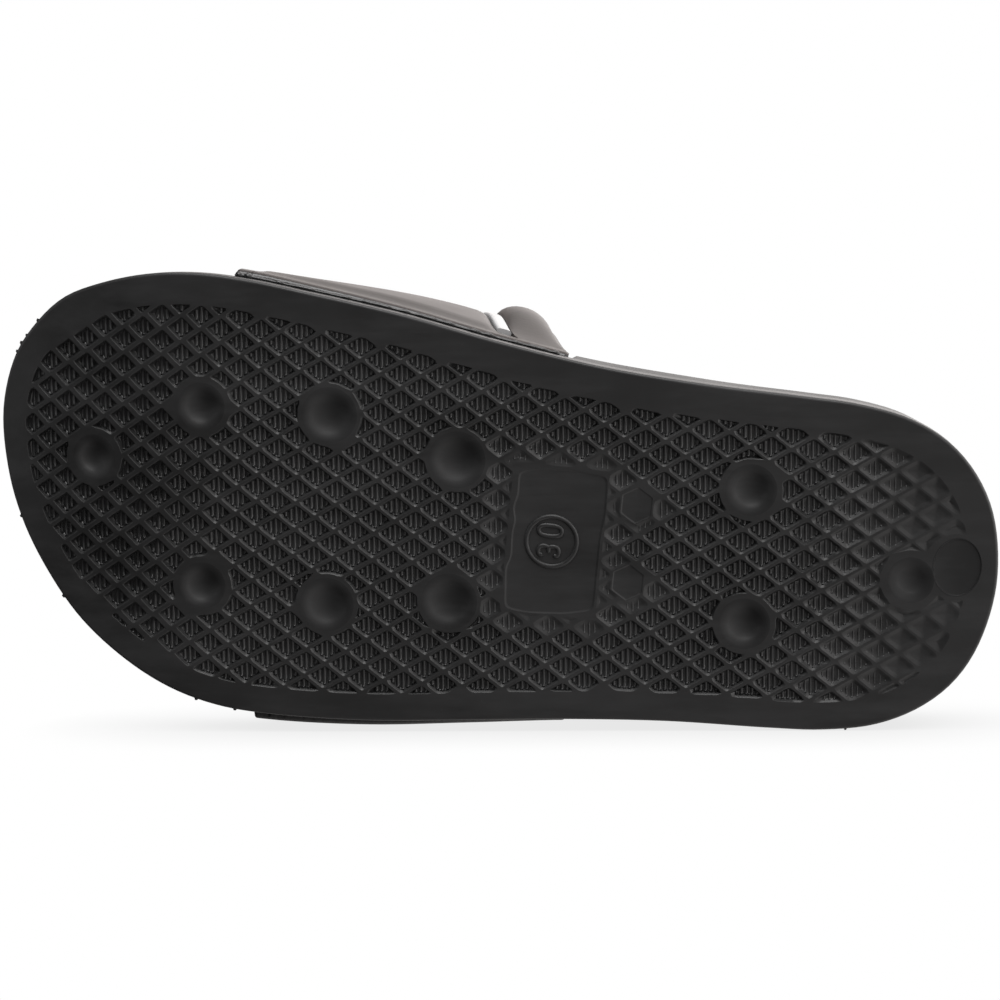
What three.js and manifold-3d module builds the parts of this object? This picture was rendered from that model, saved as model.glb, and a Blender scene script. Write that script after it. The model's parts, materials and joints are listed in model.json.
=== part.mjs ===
// A sport slide sandal, right shoe, size 30, lying on its outer side with the tread in view.
//
// The shoe is modelled in its own frame, in millimetres: x runs from the heel end to the toe, y to the
// inner side of the foot, z up from the tread. The last lines lay it down on its outer side.

import * as THREE from "three";
import { ConvexHull } from "three/addons/math/ConvexHull.js";
import { mergeVertices } from "three/addons/utils/BufferGeometryUtils.js";
import Module from "manifold-3d";

const wasm = await Module();
wasm.setup();

// Clearance between pieces that touch
const CLEARANCE = 0.3;

// Sole, seen from below
const SOLE_LENGTH = 210;
const SOLE_WIDTH = 90.7; // across the ball of the foot
const TOE_SPRING_LENGTH = 50; // how far from the tip the toe starts to lift
const TOE_SPRING_RADIUS = 140;

// Outsole: the moulded black bottom unit
const BAND_HEIGHT = 6; // side wall, from the tread up to the parting line
const EDGE_RADIUS = 0.6; // where the side wall turns into the tread
const BAND_DRAFT = 0.35; // how far the side wall leans in at the parting line
const RIM_TOE = 5.6; // smooth band round the tread field, by the side that it faces
const RIM_HEEL = 6;
const RIM_INNER = 6.5;
const RIM_OUTER = 5.8;
const FIELD_DEPTH = 1.2;
const DISH_DIAMETER = 9.6; // dimple of a stud
const DISH_DEPTH = 1.6;
const LAND_MARGIN = 1.8; // flat ring round each dish
const PAD_LENGTH = 18.2; // number pad, along the sole
const PAD_WIDTH = 29.3;
const PAD_RECESS = 0.2;
const PAD_EDGE = 0.5; // border of the pad that stays level with the tread
const HEXAGON_WIDTH = 6.8; // across flats, along the sole
const GATE_DIAMETER = 11;

// Footbed: the layer that the foot stands on
const HEEL_HEIGHT = 25; // rim above the tread at the heel
const FOREFOOT_HEIGHT = 19.5;
const FOOTBED_SETBACK = 0.9; // behind the outsole's side wall at the parting line
const FOOTBED_TAPER = 1.4; // how much further back its side lies at the top
const SIDE_BULGE = 0.2; // how far its side swells just below the rounded rim
const RIM_ROUND = 1.6;
const HOLLOW_DEPTH = 2.6; // how far the middle lies below the rim
const HOLLOW_RUN = 15; // over what distance it gets there
const ARCH_RISE = 2.4;

// Strap: the upper, one hollow band over the instep
const STRAP_REAR_RISE = 56; // lining above the parting line, at the crown
const STRAP_FRONT_RISE = 42;
const PROUD_REAR_OUTER = 2.2; // how far its feet stand out past the sole
const PROUD_FRONT_OUTER = 3.3;
const PROUD_REAR_INNER = 0.3;
const PROUD_FRONT_INNER = 0.9;
const STRAP_REAR_OUTER = 85; // ends of its feet, from the heel end of the sole
const STRAP_REAR_INNER = 92;
const STRAP_FRONT_OUTER = 150;
const STRAP_FRONT_INNER = 161;
const REAR_LEAN = 14; // how far its edges lean towards each other from foot to crown
const FRONT_LEAN = 13;
const EDGE_WALL = 1.6; // wall at the rounded rear and front edges
const LIP_WALL = 2.6; // wall of the plain lip along its feet
const LIP_HEIGHT = 4.5;
const PANEL_WALL = 3; // wall of the raised front panel
const PANEL_ROUND = 3; // shoulder of the panel
const ROLL_WALL = 5.6; // wall at the middle of the padded roll
const ROLL_WIDTH = 10;
const ROLL_FADE = 26; // height over which the roll swells out of the lip
const ROLL_FULLNESS = 0.8; // below 1 its section is fuller than a sine wave
const GROOVE_WALL = 1.6;
const GROOVE_WIDTH = 3.2;
const DRAFT = 0.3; // run of the steep step from the groove up to the panel
const DRAFT_SHARE = 0.8; // how much of that step the steep part takes
const STRIPE_THICKNESS = 1.3;
const STRIPE_START = 0.98; // share of the full groove from which the stripe lies in it
const FLANGE_WIDTH = 11; // foot that turns in between footbed and outsole
const FLANGE_THICKNESS = 1.8;
const FLANGE_BEND = 1.2;

// How finely curved surfaces are divided
const OUTLINE_POINTS = 80;
const BEND_STEP = 8;
const PROFILE_STEP = 18;
const WALL_STEPS = 24;
const ROLL_STEPS = 6;
const PANEL_STEPS = 5;
const CIRCLE_POINTS = 20;
const DISH_RINGS = 4;

// A quarter round is cut as two chamfers that meet halfway, this share of the radius from its two faces
const ROUND_MIDDLE = 0.3;
const OVERCUT = 1; // how far a cutter reaches past the faces that it cuts
const MERGE_DISTANCE = 1e-4; // vertices that lie closer are one
const ON_STATION = 1e-3; // a vertex that lies closer to a station is on it
const SAME_WAY = 1e-6; // directions that differ less are the same
const MOST_TIPS = 20; // how often the laid shoe may tip over before it lies still

// Half widths of the sole: along as a share of its length, outer and inner of its width
const OUTLINE = [
  { along: 0.01, outer: 0.14, inner: 0.15 },
  { along: 0.03, outer: 0.232, inner: 0.239 },
  { along: 0.06, outer: 0.3, inner: 0.308 },
  { along: 0.1, outer: 0.349, inner: 0.353 },
  { along: 0.15, outer: 0.375, inner: 0.374 },
  { along: 0.2, outer: 0.385, inner: 0.378 },
  { along: 0.3, outer: 0.398, inner: 0.382 },
  { along: 0.4, outer: 0.422, inner: 0.396 },
  { along: 0.5, outer: 0.453, inner: 0.427 },
  { along: 0.6, outer: 0.482, inner: 0.466 },
  { along: 0.7, outer: 0.494, inner: 0.494 },
  { along: 0.75, outer: 0.488, inner: 0.506 },
  { along: 0.8, outer: 0.46, inner: 0.509 },
  { along: 0.85, outer: 0.406, inner: 0.495 },
  { along: 0.9, outer: 0.325, inner: 0.46 },
  { along: 0.94, outer: 0.224, inner: 0.414 },
  { along: 0.97, outer: 0.12, inner: 0.342 },
  { along: 0.99, outer: 0.007, inner: 0.262 },
];
const HEEL_END = { along: 0, across: 0.004 };
const TOE_END = { along: 1, across: 0.135 };

// Dished studs: along and across as shares of the sole, dish as a share of DISH_DIAMETER
const STUDS = [
  { along: 0.895, across: 0.058, dish: 0.8 },
  { along: 0.788, across: 0.207, dish: 0.95 },
  { along: 0.66, across: 0.22, dish: 1.05 },
  { along: 0.531, across: 0.15, dish: 1 },
  { along: 0.244, across: 0.156, dish: 1 },
  { along: 0.776, across: -0.208, dish: 0.93 },
  { along: 0.647, across: -0.218, dish: 1 },
  { along: 0.526, across: -0.178, dish: 1 },
  { along: 0.236, across: -0.15, dish: 1 },
  { along: 0.082, across: -0.007, dish: 0.83 },
];
const PAD = { along: 0.428, across: -0.01 };
const GATE = { along: 0.04, across: 0.032 };
const HEXAGONS = [
  { along: 0.354, across: 0.096 },
  { along: 0.354, across: -0.083 },
];

// Hollow of the footbed from its rim to its middle, as shares of HOLLOW_RUN and HOLLOW_DEPTH
const HOLLOW = [
  { run: 0.2, depth: 0.15 },
  { run: 0.5, depth: 0.65 },
  { run: 1, depth: 1 },
];

// Where the footbed's rim comes down from the heel and where it rises along the arch, as shares of the
// sole's length and width
const HEEL_SLOPE = { from: 0.3, to: 0.66 };
const ARCH_START = { from: 0.22, to: 0.38 };
const ARCH_END = { from: 0.42, to: 0.6 };
const ARCH_SIDE = { from: 0.02, to: 0.32 };

// Front edge of the strap's panel: shares of its shoulder's run and of its wall halfway round it
const PANEL_SHOULDER = { run: 1 / 3, wall: 0.75 };
// How far past its rear and front edge the strap's section still changes, as shares of its length
const SECTION_REACH = { rear: -0.1, front: 1.2 };

// Lining of the strap from its outer foot over the instep to its inner foot. Across is a share of the
// distance from the shoe's axis to the foot of the strap, rise a share of the crown's rise.
const STRAP_SECTION = [
  { frontAcross: -1, rearAcross: -1, frontRise: 0.12, rearRise: 0.1 },
  { frontAcross: -1.012, rearAcross: -1.012, frontRise: 0.46, rearRise: 0.38 },
  { frontAcross: -0.92, rearAcross: -0.92, frontRise: 0.74, rearRise: 0.68 },
  { frontAcross: -0.56, rearAcross: -0.58, frontRise: 0.92, rearRise: 0.91 },
  { frontAcross: 0.1, rearAcross: 0.12, frontRise: 1, rearRise: 1 },
  { frontAcross: 0.6, rearAcross: 0.68, frontRise: 0.9, rearRise: 0.9 },
  { frontAcross: 0.86, rearAcross: 0.97, frontRise: 0.68, rearRise: 0.68 },
  { frontAcross: 0.96, rearAcross: 1.05, frontRise: 0.4, rearRise: 0.42 },
  { frontAcross: 0.995, rearAcross: 1.01, frontRise: 0.12, rearRise: 0.1 },
];

const FLANGE_BASE = BAND_HEIGHT + CLEARANCE;

// Small helpers

const mix = (a, b, share) => a + (b - a) * share;

function ease(value, { from, to }) {
  return THREE.MathUtils.smoothstep(value, from, to);
}

// A manifold solid from a list of [x, y, z] vertices and a list of triangles of their indices.
function solid(vertices, triangles) {
  const geometry = new THREE.BufferGeometry();
  geometry.setAttribute("position", new THREE.Float32BufferAttribute(vertices.flat(), 3));
  geometry.setIndex(triangles.flat());
  return fromGeometry(geometry);
}

function fromGeometry(geometry) {
  const bare = geometry.clone();
  bare.deleteAttribute("normal");
  bare.deleteAttribute("uv");
  const merged = mergeVertices(bare, MERGE_DISTANCE);
  return new wasm.Manifold(
    new wasm.Mesh({
      numProp: 3,
      vertProperties: merged.attributes.position.array,
      triVerts: new Uint32Array(merged.index.array),
    }),
  );
}

function toGeometry(body) {
  const mesh = body.getMesh();
  const geometry = new THREE.BufferGeometry();
  geometry.setAttribute("position", new THREE.Float32BufferAttribute(mesh.vertProperties, 3));
  geometry.setIndex(new THREE.BufferAttribute(mesh.triVerts, 1));
  geometry.computeVertexNormals();
  return geometry;
}

// A prism over a list of points, from one height to another.
function prism(points, bottom, top) {
  const shape = new THREE.Shape(points);
  const geometry = new THREE.ExtrudeGeometry(shape, { depth: top - bottom, bevelEnabled: false });
  geometry.translate(0, 0, bottom);
  return fromGeometry(geometry);
}

// Rings of equally many points, stacked from the bottom up, closed with a flat face at each end.
function stack(rings) {
  const count = rings[0].length;
  const vertices = rings.flat();
  const triangles = [];
  for (let level = 0; level + 1 < rings.length; level++) {
    for (let i = 0; i < count; i++) {
      const next = (i + 1) % count;
      const [a, b] = [level * count + i, level * count + next];
      triangles.push([a, b, b + count], [a, b + count, a + count]);
    }
  }
  const last = (rings.length - 1) * count;
  for (const [a, b, c] of THREE.ShapeUtils.triangulateShape(flat(rings[0]), []))
    triangles.push([a, c, b]);
  for (const [a, b, c] of THREE.ShapeUtils.triangulateShape(flat(rings.at(-1)), []))
    triangles.push([a + last, b + last, c + last]);
  return solid(vertices, triangles);
}

function flat(ring) {
  return ring.map(([x, y]) => new THREE.Vector2(x, y));
}

// Cuts every triangle where it crosses one of the stations along x, so that the solid can bend there.
function sliced(body, stations) {
  const mesh = body.getMesh();
  const vertices = [];
  for (let i = 0; i < mesh.vertProperties.length; i += 3)
    vertices.push([...mesh.vertProperties.slice(i, i + 3)]);
  let triangles = [];
  for (let i = 0; i < mesh.triVerts.length; i += 3)
    triangles.push([...mesh.triVerts.slice(i, i + 3)]);
  for (const station of stations) {
    const made = new Map();
    const side = (v) => {
      const away = vertices[v][0] - station;
      return Math.abs(away) < ON_STATION ? 0 : Math.sign(away);
    };
    const crossing = (v, w) => {
      const [a, b] = v < w ? [v, w] : [w, v];
      const key = `${a} ${b}`;
      if (!made.has(key)) {
        const share = (station - vertices[a][0]) / (vertices[b][0] - vertices[a][0]);
        made.set(key, vertices.length);
        vertices.push([0, 1, 2].map((k) => mix(vertices[a][k], vertices[b][k], share)));
      }
      return made.get(key);
    };
    const kept = [];
    for (const triangle of triangles) {
      const sides = triangle.map(side);
      if (Math.min(...sides) >= 0 || Math.max(...sides) <= 0) {
        kept.push(triangle);
        continue;
      }
      const on = sides.indexOf(0);
      if (on >= 0) {
        const [a, b, c] = [0, 1, 2].map((k) => triangle[(on + k) % 3]);
        const middle = crossing(b, c);
        kept.push([a, b, middle], [a, middle, c]);
        continue;
      }
      const total = sides[0] + sides[1] + sides[2];
      const alone = sides.indexOf(-Math.sign(total));
      const [a, b, c] = [0, 1, 2].map((k) => triangle[(alone + k) % 3]);
      const [left, right] = [crossing(a, b), crossing(a, c)];
      kept.push([a, left, right], [left, b, c], [left, c, right]);
    }
    triangles = kept;
  }
  return { vertices, triangles };
}

function reshaped(body, stations, place) {
  const { vertices, triangles } = sliced(body, stations);
  return solid(vertices.map(place), triangles);
}

function steps(from, to, step) {
  const count = Math.ceil((to - from) / step);
  return Array.from({ length: count }, (_, i) => from + ((i + 0.5) * (to - from)) / count);
}

// Outline of the sole

const outlineCurve = new THREE.CatmullRomCurve3(
  [
    spot(HEEL_END),
    ...OUTLINE.map((row) => spot({ along: row.along, across: -row.outer })),
    spot(TOE_END),
    ...OUTLINE.toReversed().map((row) => spot({ along: row.along, across: row.inner })),
  ],
  true,
  "centripetal",
);

function spot({ along, across }) {
  return new THREE.Vector3(along * SOLE_LENGTH, across * SOLE_WIDTH, 0);
}

// Evenly spaced points of the outline, anticlockwise from above, each with its outward normal.
const outline = outlineCurve.getSpacedPoints(OUTLINE_POINTS).slice(1).map((point, i) => {
  const tangent = outlineCurve.getTangentAt((i + 1) / OUTLINE_POINTS);
  return { x: point.x, y: point.y, normalX: tangent.y, normalY: -tangent.x };
});

// The outline moved in by a distance, or by a function of the outward normal, at a height.
function ring(inset, height) {
  return outline.map(({ x, y, normalX, normalY }) => {
    const distance = typeof inset === "function" ? inset(normalX, normalY) : inset;
    return [x - normalX * distance, y - normalY * distance, height];
  });
}

// Distance from the axis to the sole's edge at a place along it, on the outer side -1 or inner side 1.
function edgeAt(x, side) {
  for (let i = 0; i < outline.length; i++) {
    const [a, b] = [outline[i], outline[(i + 1) % outline.length]];
    if (a.y * side < 0 && b.y * side < 0) continue;
    if ((a.x - x) * (b.x - x) > 0 || a.x === b.x || a.normalY * side <= 0) continue;
    return Math.abs(mix(a.y, b.y, (x - a.x) / (b.x - a.x)));
  }
  return 0;
}

function toeSpring(x) {
  const run = Math.max(0, x - (SOLE_LENGTH - TOE_SPRING_LENGTH));
  return TOE_SPRING_RADIUS - Math.sqrt(TOE_SPRING_RADIUS ** 2 - run ** 2);
}

const bendStations = steps(SOLE_LENGTH - TOE_SPRING_LENGTH, SOLE_LENGTH, BEND_STEP);

// Outsole

function circle(centre, diameter, corners = CIRCLE_POINTS) {
  return Array.from({ length: corners }, (_, i) => {
    const angle = (i * 2 * Math.PI) / corners;
    return new THREE.Vector2(
      centre.x + (diameter / 2) * Math.cos(angle),
      centre.y + (diameter / 2) * Math.sin(angle),
    );
  });
}

function hexagon(centre, width) {
  const sides = 6;
  return circle(centre, width / Math.cos(Math.PI / sides), sides);
}

function rectangle(centre, length, width) {
  return [
    [-1, -1],
    [1, -1],
    [1, 1],
    [-1, 1],
  ].map(([i, j]) => new THREE.Vector2(centre.x + (i * length) / 2, centre.y + (j * width) / 2));
}

// A cap of a sphere that sinks into the tread: wide at the tread, DISH_DEPTH deep.
function dishCutter(centre, diameter) {
  const radius = diameter / 2;
  const sphere = (radius ** 2 + DISH_DEPTH ** 2) / (2 * DISH_DEPTH);
  const opening = Math.asin(radius / sphere);
  const profile = [new THREE.Vector2(0, -OVERCUT), new THREE.Vector2(radius, -OVERCUT)];
  for (let i = 0; i < DISH_RINGS; i++) {
    const angle = opening * (1 - i / DISH_RINGS);
    const height = DISH_DEPTH - sphere * (1 - Math.cos(angle));
    profile.push(new THREE.Vector2(sphere * Math.sin(angle), height));
  }
  profile.push(new THREE.Vector2(0, DISH_DEPTH));
  const lathe = new THREE.LatheGeometry(profile, CIRCLE_POINTS);
  lathe.rotateX(Math.PI / 2);
  lathe.translate(centre.x, centre.y, 0);
  return fromGeometry(lathe);
}

function rimWidth(normalX, normalY) {
  const lengthwise = normalX > 0 ? RIM_TOE : RIM_HEEL;
  const sideways = normalY > 0 ? RIM_INNER : RIM_OUTER;
  return lengthwise * normalX ** 2 + sideways * normalY ** 2;
}

// The tread field as a cutter: all inside the rim but the lands of studs, flats, gate mark and pad.
function fieldCutter() {
  const lands = [
    ...STUDS.map((stud) => circle(spot(stud), DISH_DIAMETER * stud.dish + 2 * LAND_MARGIN)),
    ...HEXAGONS.map((place) => hexagon(spot(place), HEXAGON_WIDTH)),
    circle(spot(GATE), GATE_DIAMETER),
    rectangle(spot(PAD), PAD_LENGTH, PAD_WIDTH),
  ];
  let field = prism(flat(ring(rimWidth, 0)), -OVERCUT, FIELD_DEPTH);
  for (const land of lands)
    field = field.subtract(prism(land, -2 * OVERCUT, FIELD_DEPTH + OVERCUT));
  return field;
}

function padCutter() {
  const [length, width] = [PAD_LENGTH - 2 * PAD_EDGE, PAD_WIDTH - 2 * PAD_EDGE];
  return prism(rectangle(spot(PAD), length, width), -OVERCUT, PAD_RECESS);
}

function makeOutsole() {
  let body = stack([
    ring(EDGE_RADIUS, 0),
    ring(EDGE_RADIUS * ROUND_MIDDLE, EDGE_RADIUS * ROUND_MIDDLE),
    ring(0, EDGE_RADIUS),
    ring(BAND_DRAFT, BAND_HEIGHT),
  ]);
  body = body.subtract(fieldCutter()).subtract(padCutter());
  for (const stud of STUDS) body = body.subtract(dishCutter(spot(stud), DISH_DIAMETER * stud.dish));
  return reshaped(body, bendStations, ([x, y, z]) => [x, y, z + toeSpring(x)]);
}

// Footbed

// The footbed is stacked at the forefoot's height, then its upper side is raised to the heel's height
// behind the arch, lifted along the inner side at the arch, and bent up at the toe.
function makeFootbed(strapCutter) {
  const top = FOREFOOT_HEIGHT;
  const side = FOOTBED_SETBACK + FOOTBED_TAPER;
  const crest = side + RIM_ROUND;
  const body = stack([
    ring(FOOTBED_SETBACK, FLANGE_BASE),
    ring(side - SIDE_BULGE, top - RIM_ROUND),
    ring(side + RIM_ROUND * ROUND_MIDDLE, top - RIM_ROUND * ROUND_MIDDLE),
    ring(crest, top),
    ...HOLLOW.map(({ run, depth }) => ring(crest + HOLLOW_RUN * run, top - HOLLOW_DEPTH * depth)),
  ]);
  const stations = [
    ...steps(0, SOLE_LENGTH - TOE_SPRING_LENGTH, PROFILE_STEP),
    ...bendStations,
  ];
  const shaped = reshaped(body, stations, ([x, y, z]) => {
    const share = (z - FLANGE_BASE) / (top - FLANGE_BASE);
    const along = x / SOLE_LENGTH;
    const heel = (HEEL_HEIGHT - FOREFOOT_HEIGHT) * (1 - ease(along, HEEL_SLOPE));
    const underArch = ease(along, ARCH_START) * (1 - ease(along, ARCH_END));
    const arch = ARCH_RISE * underArch * ease(y / SOLE_WIDTH, ARCH_SIDE);
    return [x, y, z + share * (heel + arch) + toeSpring(x)];
  });
  return shaped.subtract(strapCutter);
}

// Strap

// Stations from the rear edge to the front edge: where the strap is cut across, and its wall there.
function strapStations() {
  const rows = [];
  for (let i = 0; i <= ROLL_STEPS; i++) {
    const angle = (Math.PI * i) / ROLL_STEPS;
    rows.push({
      fromRear: (ROLL_WIDTH * (1 - Math.cos(angle))) / 2,
      wall: mix(i ? GROOVE_WALL : EDGE_WALL, ROLL_WALL, Math.sin(angle) ** ROLL_FULLNESS),
      fade: i < ROLL_STEPS ? ROLL_FADE : LIP_HEIGHT,
    });
  }
  const groove = ROLL_WIDTH + GROOVE_WIDTH;
  const panelStart = groove + PANEL_ROUND;
  rows.push({ fromRear: groove, wall: GROOVE_WALL });
  rows.push({ fromRear: groove + DRAFT, wall: mix(GROOVE_WALL, PANEL_WALL, DRAFT_SHARE) });
  rows.push({ fromRear: panelStart, wall: PANEL_WALL });
  for (let i = 1; i < PANEL_STEPS; i++)
    rows.push({ fromRear: panelStart, share: i / PANEL_STEPS, wall: PANEL_WALL });
  rows.push({ fromRear: panelStart - PANEL_ROUND, share: 1, wall: PANEL_WALL });
  rows.push({
    fromRear: panelStart - PANEL_ROUND * PANEL_SHOULDER.run,
    share: 1,
    wall: mix(EDGE_WALL, PANEL_WALL, PANEL_SHOULDER.wall),
  });
  rows.push({ fromRear: panelStart, share: 1, wall: EDGE_WALL });
  return rows.map((row) => ({ share: 0, fade: LIP_HEIGHT, ...row, panelStart }));
}

// How far towards the front edge of the strap a place along the sole lies.
function frontShare(x) {
  const share = (x - STRAP_REAR_INNER) / (STRAP_FRONT_OUTER - STRAP_REAR_INNER);
  return THREE.MathUtils.clamp(share, SECTION_REACH.rear, SECTION_REACH.front);
}

// One section of the strap: points of the lining from the outer foot to the inner foot. Each has its
// place, the outward normal in the section's plane, the wall, and its share of the raised pattern.
function strapSection(station) {
  const foot = (side, x) => {
    const [rear, front] =
      side < 0 ? [PROUD_REAR_OUTER, PROUD_FRONT_OUTER] : [PROUD_REAR_INNER, PROUD_FRONT_INNER];
    return edgeAt(x, side) + mix(rear, front, frontShare(x)) - LIP_WALL;
  };
  const alongAt = (across, rise) => {
    const inner = (across + 1) / 2;
    const rear = mix(STRAP_REAR_OUTER, STRAP_REAR_INNER, inner) + REAR_LEAN * rise;
    const front = mix(STRAP_FRONT_OUTER, STRAP_FRONT_INNER, inner) - FRONT_LEAN * rise;
    return rear + station.fromRear + station.share * (front - rear - station.panelStart);
  };
  const wall = STRAP_SECTION.map((row) => {
    const middle = alongAt(row.rearAcross, row.rearRise);
    const front = frontShare(middle);
    const across = mix(row.rearAcross, row.frontAcross, front);
    const rise = mix(row.rearRise, row.frontRise, front);
    const crown = mix(STRAP_REAR_RISE, STRAP_FRONT_RISE, front);
    const x = alongAt(THREE.MathUtils.clamp(across, -1, 1), rise);
    return new THREE.Vector3(x, across * foot(Math.sign(across), x), FLANGE_BASE + rise * crown);
  });
  const bendTop = FLANGE_BASE + FLANGE_THICKNESS + FLANGE_BEND;
  const feet = [-1, 1].map((side) => {
    const x = alongAt(side, 0);
    return { x, y: side * foot(side, x), side };
  });
  const aboveBend = (end) => new THREE.Vector3(end.x, end.y, bendTop);
  const curve = new THREE.CatmullRomCurve3(
    [aboveBend(feet[0]), ...wall, aboveBend(feet[1])],
    false,
    "centripetal",
  );
  const arch = curve.getSpacedPoints(WALL_STEPS);
  // The flange, then the bend up into the wall: round inside, with a square cut edge outside.
  const turned = (end) => {
    const at = (inward, down, out, wall) => ({
      point: new THREE.Vector3(end.x, end.y - end.side * inward, bendTop - down),
      out,
      wall,
      raised: 0,
    });
    const under = new THREE.Vector2(0, -1);
    const [deep, wide] = [FLANGE_BEND + FLANGE_THICKNESS, FLANGE_BEND + LIP_WALL];
    const corner = Math.atan2(deep, wide);
    const bend = [Math.PI / 2, (corner + Math.PI / 2) / 2, corner, corner / 2].map((angle) => {
      const [cos, sin] = [Math.cos(angle), Math.sin(angle)];
      const reach = Math.min(deep / sin, cos > 0 ? wide / cos : Infinity);
      const out = new THREE.Vector2(end.side * cos, -sin);
      return at(FLANGE_BEND * (1 - cos), FLANGE_BEND * sin, out, reach - FLANGE_BEND);
    });
    return [at(FLANGE_WIDTH, FLANGE_BEND, under, FLANGE_THICKNESS), ...bend];
  };
  const standing = arch.map((point, i) => {
    const before = arch[Math.max(0, i - 1)];
    const after = arch[Math.min(arch.length - 1, i + 1)];
    const run = new THREE.Vector2(after.y - before.y, after.z - before.z).normalize();
    const raised = ease(point.z, { from: bendTop, to: bendTop + station.fade });
    const wall = mix(LIP_WALL, station.wall, raised);
    return { point, out: new THREE.Vector2(-run.y, run.x), wall, raised };
  });
  return [...turned(feet[0]), ...standing, ...turned(feet[1]).reverse()];
}

// The strap, or the same form grown on every side by a clearance, to cut its seat.
function makeStrap(grow = 0) {
  const stations = strapStations();
  if (grow) {
    stations[0].fromRear -= grow;
    stations.at(-1).fromRear += grow;
  }
  const sections = stations.map((station) =>
    strapSection(station).map(({ point, out, wall }, i, all) => {
      const end = i === 0 ? 1 : i === all.length - 1 ? -1 : 0;
      const y = point.y + end * grow;
      return {
        lining: [point.x, y - out.x * grow, point.z - out.y * grow],
        face: [point.x, y + out.x * (wall + grow), point.z + out.y * (wall + grow)],
      };
    }),
  );
  return shell(sections);
}

// A closed shell from a grid of sections, each a list of points with a lining side and a face side.
function shell(sections) {
  const [rows, columns] = [sections.length, sections[0].length];
  const vertices = [];
  for (const section of sections) for (const { face } of section) vertices.push(face);
  for (const section of sections) for (const { lining } of section) vertices.push(lining);
  const triangles = [];
  const quad = (a, b, c, d) => triangles.push([a, b, c], [a, c, d]);
  const face = (i, j) => i * columns + j;
  const lining = (i, j) => rows * columns + i * columns + j;
  for (let i = 0; i + 1 < rows; i++) {
    for (let j = 0; j + 1 < columns; j++) {
      quad(face(i, j), face(i + 1, j), face(i + 1, j + 1), face(i, j + 1));
      quad(lining(i, j), lining(i, j + 1), lining(i + 1, j + 1), lining(i + 1, j));
    }
    quad(face(i, 0), lining(i, 0), lining(i + 1, 0), face(i + 1, 0));
    const last = columns - 1;
    quad(face(i + 1, last), lining(i + 1, last), lining(i, last), face(i, last));
  }
  for (let j = 0; j + 1 < columns; j++) {
    quad(face(0, j), face(0, j + 1), lining(0, j + 1), lining(0, j));
    const end = rows - 1;
    quad(face(end, j + 1), face(end, j), lining(end, j), lining(end, j + 1));
  }
  return solid(vertices, triangles);
}

// Stripe: the white band in the groove, clear of its floor and sides

function makeStripe() {
  const middle = ROLL_WIDTH + GROOVE_WIDTH / 2;
  const half = GROOVE_WIDTH / 2 - CLEARANCE - DRAFT;
  const panelStart = ROLL_WIDTH + GROOVE_WIDTH + PANEL_ROUND;
  const sections = [-half, half].map((offset) => {
    const station = { fromRear: middle + offset, share: 0, fade: LIP_HEIGHT, panelStart };
    return strapSection(station)
      .filter(({ raised }) => raised > STRIPE_START)
      .map(({ point, out }) => {
        const at = (height) => [point.x, point.y + out.x * height, point.z + out.y * height];
        return {
          lining: at(GROOVE_WALL + CLEARANCE),
          face: at(GROOVE_WALL + CLEARANCE + STRIPE_THICKNESS),
        };
      });
  });
  return shell(sections);
}

// Assembly

const FINISHES = {
  outsole: { color: 0x1b1b1c, roughness: 0.55 },
  footbed: { color: 0x18181a, roughness: 0.6 },
  strap: { color: 0x232222, roughness: 0.42 },
  stripe: { color: 0xf2f2f0, roughness: 0.45 },
};

function piece(name, body) {
  const finish = { ...FINISHES[name], metalness: 0 };
  const mesh = new THREE.Mesh(toGeometry(body), new THREE.MeshStandardMaterial(finish));
  mesh.name = name;
  return mesh;
}

const bodies = {
  outsole: makeOutsole(),
  footbed: makeFootbed(makeStrap(CLEARANCE)),
  strap: makeStrap(),
  stripe: makeStripe(),
};

const shoe = new THREE.Group();
for (const [name, body] of Object.entries(bodies)) shoe.add(piece(name, body));

// The pose: which way is down in the shoe's frame when it lies still on its outer side. It tips over the
// face of its convex hull that lies below its centre of mass until that face is the lowest.

function meshPoints(mesh) {
  const position = mesh.geometry.attributes.position;
  return Array.from({ length: position.count }, (_, i) =>
    new THREE.Vector3().fromBufferAttribute(position, i),
  );
}

function centreOfMass(meshes) {
  const centre = new THREE.Vector3();
  let volume = 0;
  for (const mesh of meshes) {
    const points = meshPoints(mesh);
    const index = mesh.geometry.index.array;
    for (let i = 0; i < index.length; i += 3) {
      const [a, b, c] = [points[index[i]], points[index[i + 1]], points[index[i + 2]]];
      const share = a.dot(b.clone().cross(c)) / 6;
      volume += share;
      centre.addScaledVector(a.clone().add(b).add(c), share / 4);
    }
  }
  return centre.divideScalar(volume);
}

function restingDown(meshes, firstDown) {
  const hull = new ConvexHull().setFromPoints(meshes.flatMap(meshPoints));
  const centre = centreOfMass(meshes);
  let down = firstDown.clone();
  for (let tip = 0; tip < MOST_TIPS; tip++) {
    let nearest = Infinity;
    let under = null;
    for (const face of hull.faces) {
      const facing = face.normal.dot(down);
      if (facing <= SAME_WAY) continue;
      const distance = (face.constant - face.normal.dot(centre)) / facing;
      if (distance < nearest) [nearest, under] = [distance, face];
    }
    if (under.normal.distanceTo(down) < SAME_WAY) break;
    down = under.normal.clone();
  }
  return down;
}

const down = restingDown(shoe.children, new THREE.Vector3(0, -1, 0));
const towardsHeel = new THREE.Vector3(-1, 0, 0);
towardsHeel.addScaledVector(down, -towardsHeel.dot(down)).normalize();
const up = down.clone().negate();
const away = up.clone().cross(towardsHeel);
const laid = new THREE.Matrix4().makeBasis(towardsHeel, away, up).transpose();
shoe.quaternion.setFromRotationMatrix(laid);

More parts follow.
